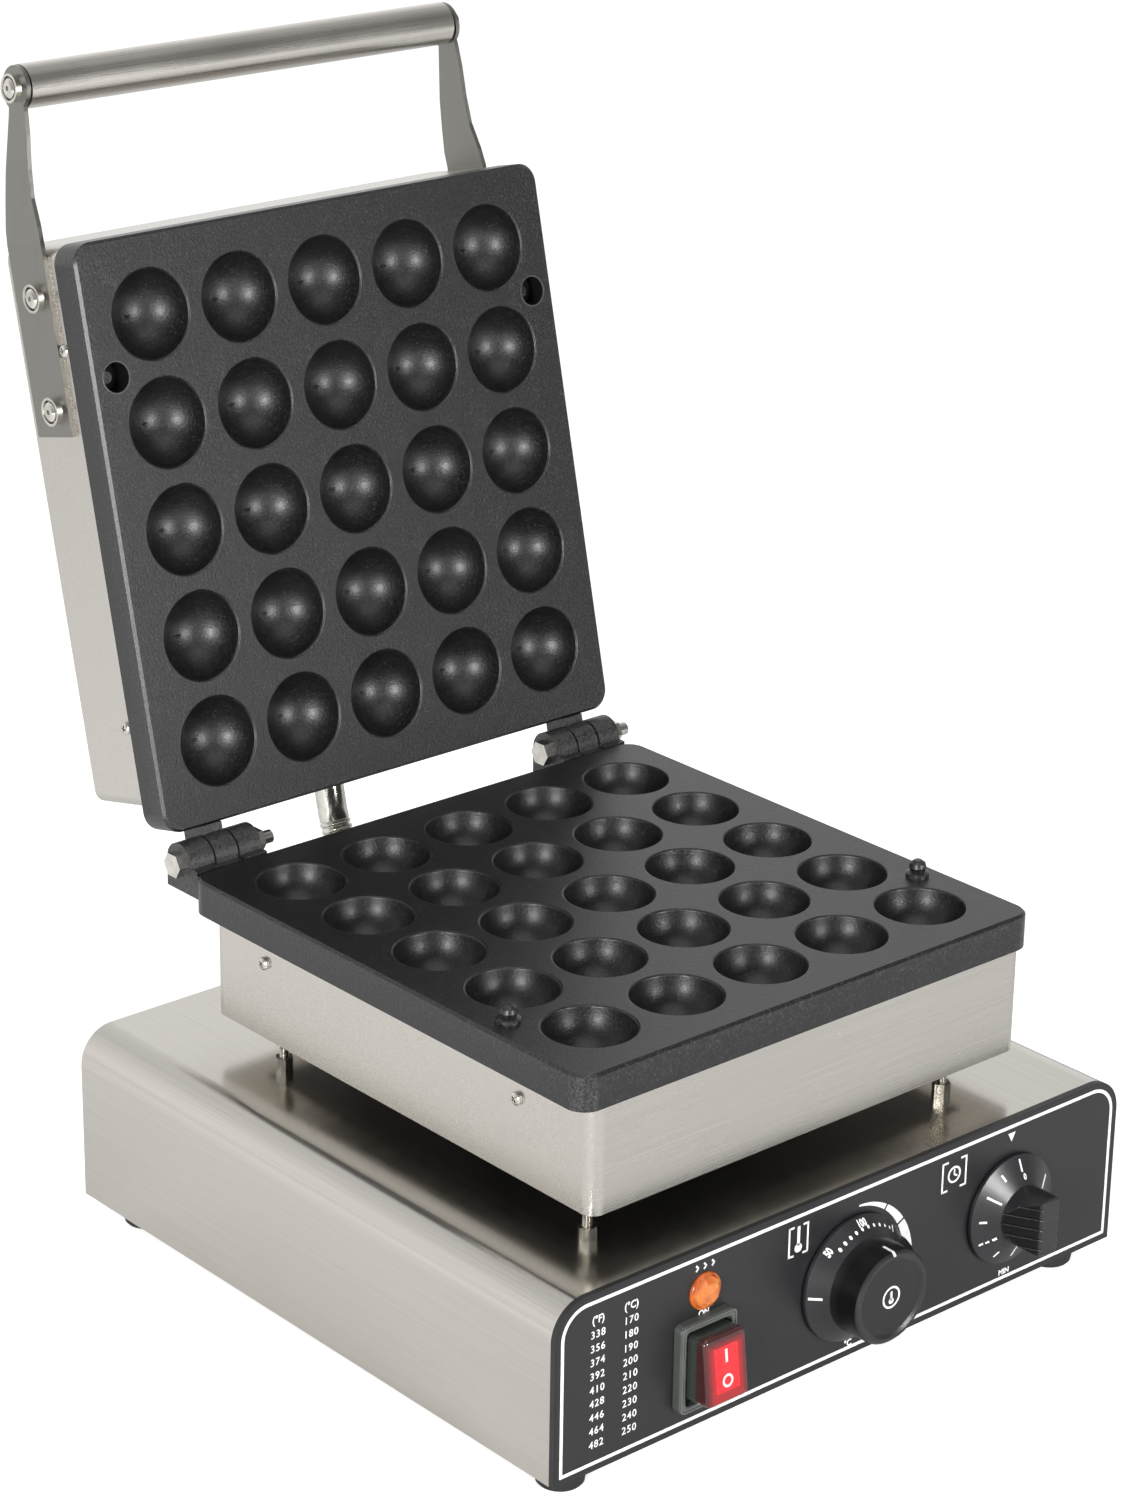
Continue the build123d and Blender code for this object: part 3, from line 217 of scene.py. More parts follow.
def brushed(name, shade, along, rough, grain=0.22):
    """Brushed sheet metal with its grain along one axis, given as a scale for each axis."""
    material, tree, shader, place = new_material(name)
    lines = noise(tree, stretched(tree, place, along), 1.0, 3.0, 0.65)
    fine = noise(tree, stretched(tree, place, [2.7 * part for part in along]), 1.0, 2.0, 0.6)
    patch = noise(tree, place, 14.0, 3.0, 0.55)
    both = summed(tree, lines, fine, "ADD")
    half = summed(tree, both, None, "MULTIPLY", 0.5)
    stops = [(0.3, toned(shade, 0.92)), (0.7, toned(shade, 1.05))]
    tree.links.new(ramp(tree, half, stops), shader.inputs["Base Color"])
    mixed = summed(tree, half, patch, "ADD")
    tree.links.new(ranged(tree, mixed, rough[0], rough[1], 0.6, 1.4), shader.inputs["Roughness"])
    shader.inputs["Metallic"].default_value = 1.0
    bump(tree, shader, half, grain, 0.00012)
    return material


def bright_metal(name, shade, rough=(0.12, 0.3)):
    """Turned or plated metal of small pieces, with fine scratches and worn edges."""
    material, tree, shader, place = new_material(name)
    cloud = noise(tree, place, 260.0, 4.0, 0.6)
    scratch = noise(tree, stretched(tree, place, (900, 900, 120)), 1.0, 2.0, 0.5)
    stops = [(0.25, toned(shade, 0.72)), (0.6, shade)]
    tree.links.new(ramp(tree, cloud, stops), shader.inputs["Base Color"])
    tree.links.new(ranged(tree, scratch, rough[0], rough[1], 0.3, 0.7), shader.inputs["Roughness"])
    shader.inputs["Metallic"].default_value = 1.0
    bump(tree, shader, cloud, 0.12, 0.0001)
    return material


def coated_cast(name):
    """Dark non-stick coating with a fine speckle over a slightly uneven casting."""
    material, tree, shader, place = new_material(name)
    speck = noise(tree, place, 900.0, 2.0, 0.6)
    grit = noise(tree, place, 2300.0, 2.0, 0.7)
    wave = noise(tree, place, 60.0, 2.0, 0.5)
    both = summed(tree, speck, summed(tree, grit, None, "MULTIPLY", 0.6), "ADD")
    wear = edge_wear(tree, 0.0, 0.22)
    tone = summed(tree, both, wear, "ADD")
    stops = [(0.45, colour(7, 7, 8)), (0.82, colour(14, 14, 15)), (0.97, colour(30, 30, 31)),
             (1.0, colour(54, 53, 52))]
    tree.links.new(ramp(tree, tone, stops), shader.inputs["Base Color"])
    tree.links.new(ranged(tree, both, 0.34, 0.48, 0.5, 1.1), shader.inputs["Roughness"])
    shader.inputs["Specular IOR Level"].default_value = 0.4
    coat(shader, 0.35, 0.32)
    first = bump(tree, None, wave, 0.25, 0.0004)
    second = bump(tree, None, noise(tree, place, 950.0, 3.0, 0.6), 0.6, 0.0003, first)
    bump(tree, shader, both, 0.5, 0.00016, second)
    return material


def moulded(name, shade, rough=(0.38, 0.52), grain=0.2, scale=1400.0, light=1.35):
    """Moulded plastic or rubber with a fine grain and slightly lighter worn edges."""
    material, tree, shader, place = new_material(name)
    grit = noise(tree, place, scale, 3.0, 0.6)
    cloud = noise(tree, place, 90.0, 2.0, 0.5)
    tone = summed(tree, cloud, edge_wear(tree, 0.0, 0.5), "ADD")
    stops = [(0.3, shade), (0.95, toned(shade, light))]
    tree.links.new(ramp(tree, tone, stops), shader.inputs["Base Color"])
    tree.links.new(ranged(tree, grit, rough[0], rough[1], 0.3, 0.7), shader.inputs["Roughness"])
    bump(tree, shader, grit, grain, 0.0001)
    return material


def printed(name, shade):
    """Screen print ink, slightly uneven."""
    material, tree, shader, place = new_material(name)
    cloud = noise(tree, place, 700.0, 3.0, 0.6)
    stops = [(0.3, toned(shade, 0.8)), (0.6, shade)]
    tree.links.new(ramp(tree, cloud, stops), shader.inputs["Base Color"])
    tree.links.new(ranged(tree, cloud, 0.35, 0.55), shader.inputs["Roughness"])
    bump(tree, shader, cloud, 0.1, 0.00005)
    return material


def clear_plastic(name, dark, light, glow, rough=0.16, scale=220.0):
    """Tinted clear plastic over a lamp."""
    material, tree, shader, place = new_material(name)
    cloud = noise(tree, place, scale, 2.0, 0.5)
    shade = ramp(tree, cloud, [(0.3, dark), (0.7, light)])
    tree.links.new(shade, shader.inputs["Base Color"])
    tree.links.new(shade, shader.inputs["Emission Color"])
    shader.inputs["Emission Strength"].default_value = glow
    tree.links.new(ranged(tree, cloud, rough, rough + 0.1), shader.inputs["Roughness"])
    coat(shader, 0.25, 0.1)
    bump(tree, shader, cloud, 0.08, 0.0001)
    return material


def wool_material(name):
    """Matted mineral wool."""
    material, tree, shader, place = new_material(name)
    fibre = noise(tree, stretched(tree, place, (300, 300, 900)), 1.0, 6.0, 0.7)
    tree.links.new(ramp(tree, fibre, [(0.3, colour(150, 138, 108)), (0.7, colour(214, 204, 178))]),
                   shader.inputs["Base Color"])
    tree.links.new(ranged(tree, fibre, 0.8, 1.0), shader.inputs["Roughness"])
    bump(tree, shader, fibre, 0.8, 0.001)
    return material


def knob_material(name, knob, grip):
    """Black knob plastic with painted shade on the grip's side, which is duller and darker there than on
    its face and the skirt.
    """
    material = moulded(name, colour(32, 32, 34), (0.26, 0.38), 0.12, 1800.0, 1.3)
    tree = material.node_tree
    shader = tree.nodes["Principled BSDF"]
    place = tree.nodes.new("ShaderNodeTexCoord").outputs["Object"]
    shift = vector_math(tree, "SUBTRACT", place, (knob.x, 0, knob.z))
    length = vector_math(tree, "LENGTH", vector_math(tree, "MULTIPLY", shift, (1, 0, 1)))
    outside = ranged(tree, length, 0.0, 1.0, (grip - 0.1) * MM, (grip + 0.15) * MM)
    depth = separated(tree, place)["Y"]
    face = ranged(tree, depth, 1.0, 0.0, PANEL_FACE - GRIP_FACE, PANEL_FACE - GRIP_SIDE)
    both = summed(tree, outside, face, "MAXIMUM")
    tree.links.new(ranged(tree, both, 0.16, 0.5), shader.inputs["Specular IOR Level"])
    before = shader.inputs["Base Color"].links[0].from_socket
    # Painted shade: the grip's side is darkened to 15, 15, 16 against the face and the skirt
    mix = tree.nodes.new("ShaderNodeMix")
    mix.data_type = "RGBA"
    tree.links.new(both, mix.inputs["Factor"])
    mix.inputs[6].default_value = colour(15, 15, 16)
    tree.links.new(before, mix.inputs[7])
    tree.links.new(mix.outputs[2], shader.inputs["Base Color"])
    return material


STEEL = colour(206, 202, 195)
steel_top = brushed("steel_across", STEEL, (5, 900, 900), (0.22, 0.32), 0.1)
steel_side = brushed("steel_front_to_back", STEEL, (900, 5, 900), (0.14, 0.24), 0.12)
# Painted shade: darker steel for the lower housing's floor, which lies in shade under the housing
steel_painted_shade = brushed("steel_dull_painted_shade", colour(70, 68, 65), (5, 900, 900), (0.4, 0.55))
steel_round = brushed("steel_handle", colour(214, 210, 203), (4, 1100, 1100), (0.2, 0.34), 0.3)
steel_arm = brushed("steel_arm", colour(144, 142, 137), (800, 800, 8), (0.3, 0.42), 0.1)
zinc = bright_metal("zinc_plate", colour(196, 193, 184))
chrome = bright_metal("bright_plate", colour(220, 217, 210), (0.08, 0.22))
brass = bright_metal("brass_plain", colour(196, 160, 92), (0.2, 0.36))
cast = coated_cast("coated_casting")
# Painted shade: near-black lining where the sockets' bores lie in shade
bore_painted_shade_black = moulded("socket_bore_painted_shade", colour(9, 9, 9), (0.7, 0.85), 0.2, 900.0)
bore_painted_shade_black.node_tree.nodes["Principled BSDF"].inputs["Specular IOR Level"].default_value = 0.15
cast_edge = moulded("coating_edge", colour(62, 62, 63), (0.3, 0.42), 0.3, 1100.0, 1.4)
panel_black = moulded("panel_black", colour(26, 26, 28), (0.34, 0.44), 0.1, 2200.0, 1.12)
trim_black = moulded("trim_black", colour(22, 22, 23), (0.4, 0.55), 0.1, 1500.0)
knob_black = moulded("knob_black", colour(30, 30, 32), (0.26, 0.38), 0.12, 1800.0, 1.3)
# Knob plastics with painted shade on their grips' sides
painted_shade_round_knob = knob_material("knob_round_painted_shade", KNOB_T, 20.75)
painted_shade_timer_knob = knob_material("knob_timer_painted_shade", KNOB_M, 12.9)
case_grey = moulded("switch_grey", colour(66, 69, 66), (0.32, 0.46), 0.15, 1500.0, 1.3)
# Painted highlight: a lighter copy of the switch's grey for the raised lips of its frame
lip_painted_highlight = moulded("switch_lip_painted_highlight", colour(84, 87, 84), (0.3, 0.42), 0.15, 1500.0, 1.3)
rubber_black = moulded("rubber_black", colour(30, 30, 31), (0.6, 0.8), 0.3, 900.0)
white_ink = printed("white_ink", colour(240, 240, 238))
amber = clear_plastic("amber_lens", colour(168, 78, 30), colour(204, 122, 58), 0.05)
amber_dark = clear_plastic("amber_rim", colour(150, 64, 18), colour(196, 100, 34), 0.02)
ceramic = moulded("ceramic_white", colour(224, 219, 206), (0.6, 0.8), 0.3, 700.0, 1.05)
wool = wool_material("mineral_wool")


def rocker_material():
    """Clear red cap, brighter in the middle of its face where the lamp shines through."""
    material, tree, shader, place = new_material("rocker_red")
    parts = separated(tree, vector_math(tree, "SUBTRACT", place, ROCKER))
    wide = summed(tree, parts["X"], None, "ABSOLUTE", 0)
    tall = summed(tree, parts["Z"], None, "ABSOLUTE", 0)
    side = ranged(tree, wide, 0.0, 1.0, 0.0072, 0.0108)
    end = ranged(tree, tall, 0.0, 1.0, 0.0105, 0.0145)
    edge = summed(tree, side, end, "MAXIMUM")
    cloud = noise(tree, place, 160.0, 2.0, 0.5)
    deep = ranged(tree, parts["Y"], 0.0, 1.0, -0.0095, -0.0078)
    edge = summed(tree, edge, deep, "ADD")
    tone = summed(tree, edge, summed(tree, cloud, None, "MULTIPLY", 0.15), "ADD")
    tone = summed(tree, tone, None, "MULTIPLY", 0.5)
    shade = ramp(tree, tone, [(0.05, colour(150, 10, 18)), (0.24, colour(116, 8, 14)),
                              (0.5, colour(66, 12, 16)), (0.62, colour(46, 50, 46)),
                              (1.0, colour(50, 54, 50))])
    tree.links.new(shade, shader.inputs["Base Color"])
    tree.links.new(shade, shader.inputs["Emission Color"])
    shader.inputs["Emission Strength"].default_value = 0.03
    tree.links.new(ranged(tree, cloud, 0.12, 0.24), shader.inputs["Roughness"])
    coat(shader, 0.6, 0.08)
    bump(tree, shader, cloud, 0.05, 0.0001)
    return material


red_cap = rocker_material()
red_core = clear_plastic("red_core", colour(196, 14, 26), colour(226, 34, 42), 0.3, 0.3, 400.0)

node_groups = (
    (steel_side, "base_shell"),
    (steel_top, "base_bottom_plate lower_housing upper_housing"),
    (trim_black, "front_panel"),
    (rubber_black, "feet wire_bushing"),
    (zinc, "foot_screws foot_nuts support_studs support_nuts lower_heater_pins lower_clamp_screws "
     "thermostat_body timer_body thermostat_shaft timer_shaft upper_heater_pins upper_clamp_screws "
     "handle_plugs handle_nuts"),
    # Painted shade on the floor under the lower housing
    (steel_painted_shade, "lower_housing_floor"),
    (chrome, "lower_housing_screws hinge_bolts hinge_nuts conduit base_conduit_gland base_gland_nut "
     "lid_conduit_gland lid_gland_nut upper_housing_screws handle_screws handle_cup_washers"),
    (wool, "lower_insulation upper_insulation"),
    (cast, "lower_plate alignment_pegs upper_plate"),
    (steel_round, "lower_heater upper_heater handle_tube"),
    (ceramic, "lower_heater_beads terminal_block upper_heater_beads"),
    (steel_arm, "lower_heater_clamps upper_heater_clamps handle_arm_left handle_arm_right"),
    (brass, "thermostat_feeler switch_blades terminal_screws"),
    (amber, "pilot_lamp_lens"),
    (case_grey, "pilot_lamp_body pilot_lamp_nut switch_case"),
    (red_cap, "switch_rocker"),
    (knob_black, "cord_gland cord_gland_nut"),
    (painted_shade_round_knob, "temperature_knob"),
    (painted_shade_timer_knob, "timer_knob"),
)


def dress_nodes():
    """Give each carried-over node its material."""
    for material, names in node_groups:
        for name in names.split():
            piece = nodes[name]
            piece.data.materials.clear()
            piece.data.materials.append(material)


# Mesh helpers

def linked(name, data, body=None):
    """New object in the scene, which may ride on a body."""
    item = bpy.data.objects.new(name, data)
    bpy.context.scene.collection.objects.link(item)
    if body:
        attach(item, body)
    return item


def with_modifier(piece, kind, **settings):
    """Change a piece's mesh by a modifier and keep the result."""
    modifier = piece.modifiers.new(kind.lower(), kind)
    for key, value in settings.items():
        setattr(modifier, key, value)
    bpy.context.view_layer.update()
    result = bpy.data.meshes.new_from_object(piece.evaluated_get(bpy.context.evaluated_depsgraph_get()))
    piece.modifiers.clear()
    piece.data = result


def soften(piece, width):
    """Bevel a piece's edges."""
    with_modifier(piece, "BEVEL", width=width, segments=2, limit_method="ANGLE")


def piece_from(name, verts, faces, material, body, smooth=True):
    """New mesh piece that rides on a body."""
    mesh = bpy.data.meshes.new(name)
    mesh.from_pydata([tuple(v) for v in verts], [], faces)
    mesh.validate()
    mesh.update()
    build = bmesh.new()
    build.from_mesh(mesh)
    bmesh.ops.remove_doubles(build, verts=build.verts, dist=1e-7)
    bmesh.ops.recalc_face_normals(build, faces=build.faces)
    build.to_mesh(mesh)
    build.free()
    if smooth:
        mesh.shade_smooth()
        mesh.set_sharp_from_angle(angle=radians(38))
    mesh.materials.append(material)
    return linked(name, mesh, body)


def axes_for(direction):
    """Two directions square to one direction."""
    direction = direction.normalized()
    helper = RIGHT if abs(direction.x) < 0.5 else UP
    side = (helper - direction * helper.dot(direction)).normalized()
    return side, direction.cross(side)


def lathe(outline, origin, direction, steps=48):
    """Vertices and faces of an outline of (radius, height) turned about a direction."""
    side, other = axes_for(direction)
    verts = []
    faces = []
    for radius, height in outline:
        for i in range(steps):
            turn = 2 * pi * i / steps
            verts.append(origin + direction * height + (side * cos(turn) + other * sin(turn)) * radius)
    for k in range(len(outline) - 1):
        for i in range(steps):
            j = (i + 1) % steps
            faces.append((k * steps + i, k * steps + j, (k + 1) * steps + j, (k + 1) * steps + i))
    return verts, faces


def join(parts):
    """Several lists of vertices and faces as one."""
    verts = []
    faces = []
    for some_verts, some_faces in parts:
        first = len(verts)
        verts += some_verts
        faces += [tuple(first + index for index in face) for face in some_faces]
    return verts, faces


def prism(outline, back, front):
    """Closed solid between an outline of points at two offsets along -Y, given as (x, z) pairs."""
    count = len(outline)
    verts = [Vector((x, back, z)) for x, z in outline] + [Vector((x, front, z)) for x, z in outline]
    faces = [tuple(range(count)), tuple(reversed(range(count, 2 * count)))]
    for i in range(count):
        j = (i + 1) % count
        faces.append((i, j, count + j, count + i))
    return verts, faces


def ring_strip(outer, inner, back, front):
    """Closed strip between an outer and an inner outline with as many points, along Y."""
    count = len(outer)
    verts = []
    for y in (back, front):
        verts += [Vector((x, y, z)) for x, z in outer]
        verts += [Vector((x, y, z)) for x, z in inner]
    faces = []
    for i in range(count):
        j = (i + 1) % count
        a, b, c, d = i, j, count + j, count + i
        e, f, g, h = (2 * count + k for k in (i, j, count + j, count + i))
        faces += [(a, b, c, d), (h, g, f, e), (a, e, f, b), (d, c, g, h)]
    return verts, faces


def skirt_of(centre, rim, rim_height, slope):
    """Function that moves a point of the panel's plane forward onto a knob's conical skirt."""
    def lay(vert):
        radius = sqrt((vert.x - centre.x) ** 2 + (vert.z - centre.z) ** 2)
        return vert + FRONT * (rim_height + max(0.0, rim - radius) * slope)
    return lay


SKIRT_T = skirt_of(KNOB_T, 27.7 * MM, 2.4 * MM, 6.8 / 6.9)
SKIRT_M = skirt_of(KNOB_M, 24.5 * MM, 2.4 * MM, 6.1 / 11.5)


def flat_print(name, outlines, face, body="base", lay=None):
    """Ink areas on a plane that faces forward, from (x, z) outlines in metres."""
    parts = [prism(outline, face - 0.2 * INK, face - INK) for outline in outlines]
    verts, faces = join(parts)
    if lay:
        verts = [lay(vert) for vert in verts]
    return piece_from(name, verts, faces, white_ink, body, smooth=False)


def text_outline(text, size, spacing=1.0, bold=0.0):
    """Mesh of a text in its own plane, centred."""
    curve = bpy.data.curves.new("text", "FONT")
    curve.body = text
    curve.size = size
    curve.align_x = "CENTER"
    curve.align_y = "CENTER"
    curve.space_character = spacing
    curve.offset = bold
    curve.extrude = INK / 2
    curve.resolution_u = 3
    holder = linked("text", curve)
    bpy.context.view_layer.update()
    mesh = bpy.data.meshes.new_from_object(holder.evaluated_get(bpy.context.evaluated_depsgraph_get()))
    bpy.data.objects.remove(holder)
    bpy.data.curves.remove(curve)
    return mesh


def text_piece(name, text, size, origin, body="base", across=RIGHT, up=UP, squeeze=1.0, spacing=1.0,
               bold=0.0, lay=None):
    """Text as a thin ink piece on a plane."""
    mesh = text_outline(text, size, spacing, bold)
    out = across.cross(up).normalized()
    turn = Matrix((across * squeeze, up, out)).transposed().to_4x4()
    mesh.transform(Matrix.Translation(origin + out * INK) @ turn)
    if lay:
        for vert in mesh.vertices:
            vert.co = lay(vert.co)
    mesh.materials.clear()
    mesh.materials.append(white_ink)
    linked(name, mesh, body)


def rounded_outline(left, right, low, high, corners, steps=10):
    """Outline of (x, z) points of a rectangle, with a radius for each corner from the lower left."""
    points = []
    places = [(left, low, pi, corners[0]), (right, low, 1.5 * pi, corners[1]),
              (right, high, 0.0, corners[2]), (left, high, 0.5 * pi, corners[3])]
    for x, z, start, radius in places:
        centre_x = x + radius if x == left else x - radius
        centre_z = z + radius if z == low else z - radius
        for i in range(steps + 1):
            turn = start + 0.5 * pi * i / steps
            points.append((centre_x + radius * cos(turn), centre_z + radius * sin(turn)))
    return points


def arc_band(centre_x, centre_z, inner, outer, start, end, steps=24):
    """Outline of a band between two radii, each a pair at its start and end, clockwise from the top."""
    rim = []
    hub = []
    for i in range(steps + 1):
        share = i / steps
        turn = radians(start + (end - start) * share)
        far = outer[0] + (outer[1] - outer[0]) * share
        near = inner[0] + (inner[1] - inner[0]) * share
        rim.append((centre_x + far * sin(turn), centre_z + far * cos(turn)))
        hub.append((centre_x + near * sin(turn), centre_z + near * cos(turn)))
    return rim + hub[::-1]


def bar(x0, z0, x1, z1, width):
    """Outline of a straight stroke."""
    along = Vector((x1 - x0, z1 - z0))
    square = Vector((-along.y, along.x)).normalized() * width / 2
    return [(x0 + square.x, z0 + square.y), (x0 - square.x, z0 - square.y),
            (x1 - square.x, z1 - square.y), (x1 + square.x, z1 + square.y)]


def clock_bar(centre, radius_in, radius_out, angle, width):
    """Outline of a radial stroke around a knob, the angle clockwise from the top in degrees."""
    turn = radians(angle)
    return bar(centre.x + radius_in * sin(turn), centre.z + radius_in * cos(turn),
               centre.x + radius_out * sin(turn), centre.z + radius_out * cos(turn), width)


def clock_axes(angle):
    """Directions outward and clockwise on the panel, the angle clockwise from the top in degrees."""
    turn = radians(angle)
    return Vector((sin(turn), 0, cos(turn))), Vector((cos(turn), 0, -sin(turn)))


def disc(centre_x, centre_z, radius, end=350, steps=24):
    """Outline of a dot, closed by a straight edge from where its rim ends."""
    return arc_band(centre_x, centre_z, (0, 0), (radius, radius), 0, end, steps)


def ring(centre_x, centre_z, inner, outer):
    """Outlines of the two halves of a ring, its radii in millimetres."""
    radii = (inner * MM, inner * MM), (outer * MM, outer * MM)
    return [arc_band(centre_x, centre_z, *radii, start, start + 180) for start in (0, 180)]


def brackets(left, right, low, high, hook, stroke):
    """Outlines of a pair of square brackets."""
    shapes = []
    for x, way in ((left, 1), (right, -1)):
        shapes.append(bar(x, low, x, high, stroke))
        for z in (high - stroke / 2, low + stroke / 2):
            shapes.append(bar(x, z, x + way * hook, z, stroke))
    return shapes


# Front panel

def panel_face():
    """Grey-black foil on the panel with its white border line."""
    low, high = PANEL
    inset = 0.9 * MM
    foil = rounded_outline(low.x + inset, high.x - inset, low.z + inset, high.z - inset,
                           (0.5 * MM, 0.5 * MM, 15.1 * MM, 15.1 * MM))
    face = low.y + 0.02 * MM
    # The controls' flanges cover the foil's openings
    verts, faces = prism(foil, face, face - 0.12 * MM)
    foil_piece = piece_from("panel_foil", verts, faces, panel_black, "base", smooth=False)
    cut_holes(foil_piece)
    line = 3.0 * MM
    width = 1.5 * MM
    outer = rounded_outline(low.x + line, high.x - line, low.z + line, high.z - line,
                            (0.6 * MM, 0.6 * MM, 13.0 * MM, 13.0 * MM), 12)
    inner = rounded_outline(low.x + line + width, high.x - line - width, low.z + line + width,
                            high.z - line - width, (0.3 * MM, 0.3 * MM, 11.5 * MM, 11.5 * MM), 12)
    verts, faces = ring_strip(outer, inner, face - 0.13 * MM, face - 0.2 * MM)
    piece_from("panel_border_line", verts, faces, white_ink, "base", smooth=False)
    return face - 0.12 * MM


def cut_holes(foil):
    """Openings of the foil behind the knobs, the lamp and the switch."""
    build = bmesh.new()
    for centre, radius in ((KNOB_T, 4.7 * MM), (KNOB_M, 4.7 * MM), (LAMP, 6.2 * MM)):
        place = Matrix.Translation((centre.x, PANEL_FACE, centre.z)) @ Matrix.Rotation(pi / 2, 4, "X")
        bmesh.ops.create_cone(build, cap_ends=True, segments=40, radius1=radius, radius2=radius,
                              depth=4 * MM, matrix=place)
    place = Matrix.Translation((ROCKER.x, PANEL_FACE, ROCKER.z))
    bmesh.ops.create_cube(build, size=1.0, matrix=place @ Matrix.Diagonal((27 * MM, 4 * MM, 36 * MM, 1)))
    mesh = bpy.data.meshes.new("holes")
    build.to_mesh(mesh)
    build.free()
    cutter = linked("holes", mesh)
    with_modifier(foil, "BOOLEAN", operation="DIFFERENCE", solver="EXACT", object=cutter)
    bpy.data.objects.remove(cutter)


lens_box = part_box("pilot_lamp_lens")
LAMP = Vector(((lens_box[0].x + lens_box[1].x) / 2, PANEL_FACE, (lens_box[0].z + lens_box[1].z) / 2))
dress_nodes()
FACE = panel_face()


def temperature_table():
    """Two columns of numbers, Fahrenheit beside Celsius."""
    rows = 9
    top = 71.3 * MM
    pitch = 6.05 * MM
    size = 4.6 * MM
    columns = ((-136.8 * MM, "(°F)", [338 + 18 * i for i in range(rows)]),
               (-119.8 * MM, "(°C)", [170 + 10 * i for i in range(rows)]))
    for x, heading, values in columns:
        name = "fahrenheit" if "F" in heading else "celsius"
        spot = Vector((x, FACE, 77.6 * MM))
        text_piece(f"print_{name}_heading", heading, size, spot, squeeze=0.92, bold=0.00008)
        for i, value in enumerate(values):
            spot = Vector((x, FACE, top - pitch * i))
            text_piece(f"print_{name}_{value}", str(value), size, spot, spacing=1.15, bold=0.00003)


def pictograms():
    """Thermometer, clock and pointer signs beside the knobs."""
    stroke = 0.9 * MM
    low, high = 68.0 * MM, 81.6 * MM
    left, right = -35.8 * MM, -25.6 * MM
    shapes = brackets(left, right, low, high, 2.6 * MM, stroke)
    middle = (left + right) / 2
    shapes.append(bar(middle, low + 4.4 * MM, middle, high - 0.6 * MM, 1.5 * MM))
    shapes.append(disc(middle, low + 3.4 * MM, 2.0 * MM, 359))
    flat_print("print_thermometer", shapes, FACE)

    left, right = 51.6 * MM, 65.4 * MM
    low, high = 67.6 * MM, 81.4 * MM
    middle = (left + right) / 2
    centre = (low + high) / 2
    shapes = brackets(left, right, low, high, 3.2 * MM, stroke) + ring(middle, centre, 2.9, 3.8)
    shapes.append(bar(middle, centre, middle, centre + 2.6 * MM, 0.8 * MM))
    shapes.append(bar(middle, centre, middle + 1.8 * MM, centre - 1.0 * MM, 0.8 * MM))
    flat_print("print_clock", shapes, FACE)

    x, low, high = KNOB_M.x, 78.6 * MM, 82.6 * MM
    flat_print("print_timer_pointer", [[(x - 2.2 * MM, high), (x + 2.2 * MM, high), (x, low)]], FACE)
    heat = []
    for i in range(3):
        x = LAMP.x + (i - 1) * 4.2 * MM
        heat.append(bar(x - 0.6 * MM, LAMP.z + 9.6 * MM, x + 0.7 * MM, LAMP.z + 10.9 * MM, 0.8 * MM))
        heat.append(bar(x + 0.7 * MM, LAMP.z + 10.7 * MM, x - 0.6 * MM, LAMP.z + 12.2 * MM, 0.8 * MM))
    flat_print("print_heat_sign", heat, FACE)
    text_piece("print_lamp_on", "ON", 3.6 * MM, Vector((LAMP.x, FACE, LAMP.z - 9.8 * MM)), bold=0.0001)
    text_piece("print_celsius_unit", "°C", 4.0 * MM, Vector((KNOB_T.x, FACE, 16.8 * MM)), bold=0.0001)
    text_piece("print_minute_unit", "MIN", 3.6 * MM, Vector((KNOB_M.x, FACE, 17.4 * MM)), bold=0.0001)


temperature_table()
pictograms()


def dial_number(name, value, knob, angle, radius, size, body, lay):
    """Number on a knob's skirt, its head to the rim."""
    out, across = clock_axes(angle)
    spot = Vector((knob.x, PANEL_FACE, knob.z)) + out * radius
    text_piece(name, str(value), size, spot, body, across, out, bold=0.00012, lay=lay)


def dial_marks():
    """White marks on the two knobs' skirts and the heat crescent on the panel."""
    marks = []
    for i in range(10):
        turn = radians(-35 + i * 8.3)
        radius = (23.4 + 0.13 * i) * MM
        dot = (0.72 - 0.02 * i) * MM
        marks.append(disc(KNOB_T.x + radius * sin(turn), KNOB_T.z + radius * cos(turn), dot, steps=10))
    marks.append(clock_bar(KNOB_T, 22.9 * MM, 27.0 * MM, -89.5, 1.1 * MM))
    marks.append(clock_bar(KNOB_T, 23.9 * MM, 26.3 * MM, 46, 0.8 * MM))
    flat_print("dial_temperature_dots", marks, PANEL_FACE, "temperature_knob", SKIRT_T)
    for value, angle in ((50, -44), (100, 1)):
        dial_number(f"dial_temperature_{value}", value, KNOB_T, angle, 25.6 * MM, 3.3 * MM,
                    "temperature_knob", SKIRT_T)

    crescent = []
    for start, end, inner, outer in ((6, 36, (30.4, 30.0), (31.2, 32.4)),
                                     (38, 60, (30.0, 29.8), (32.5, 33.6)),
                                     (62, 88, (29.8, 29.8), (33.7, 35.2))):
        radii = [[part * MM for part in pair] for pair in (inner, outer)]
        crescent.append(arc_band(KNOB_T.x, KNOB_T.z, *radii, start, end))
    flat_print("print_heat_crescent", crescent, FACE)

    ticks = []
    for i in range(11):
        angle = 5 - 30.6 * i
        inner, outer = (14.6, 21.2) if i % 2 == 0 else (18.4, 21.4)
        if i == 0:
            inner, outer = 18.2, 23.0
        if i == 4:
            ticks.append(clock_bar(KNOB_M, 15.4 * MM, 17.2 * MM, angle - 1, 1.3 * MM))
            inner, outer = 18.4, 20.0
            ticks.append(clock_bar(KNOB_M, 20.8 * MM, 22.6 * MM, angle + 1, 1.0 * MM))
        ticks.append(clock_bar(KNOB_M, inner * MM, outer * MM, angle, 0.95 * MM))
    flat_print("dial_timer_ticks", ticks, PANEL_FACE, "timer_knob", SKIRT_M)
    dial_number("dial_timer_0", 0, KNOB_M, 8, 16.2 * MM, 3.2 * MM, "timer_knob", SKIRT_M)


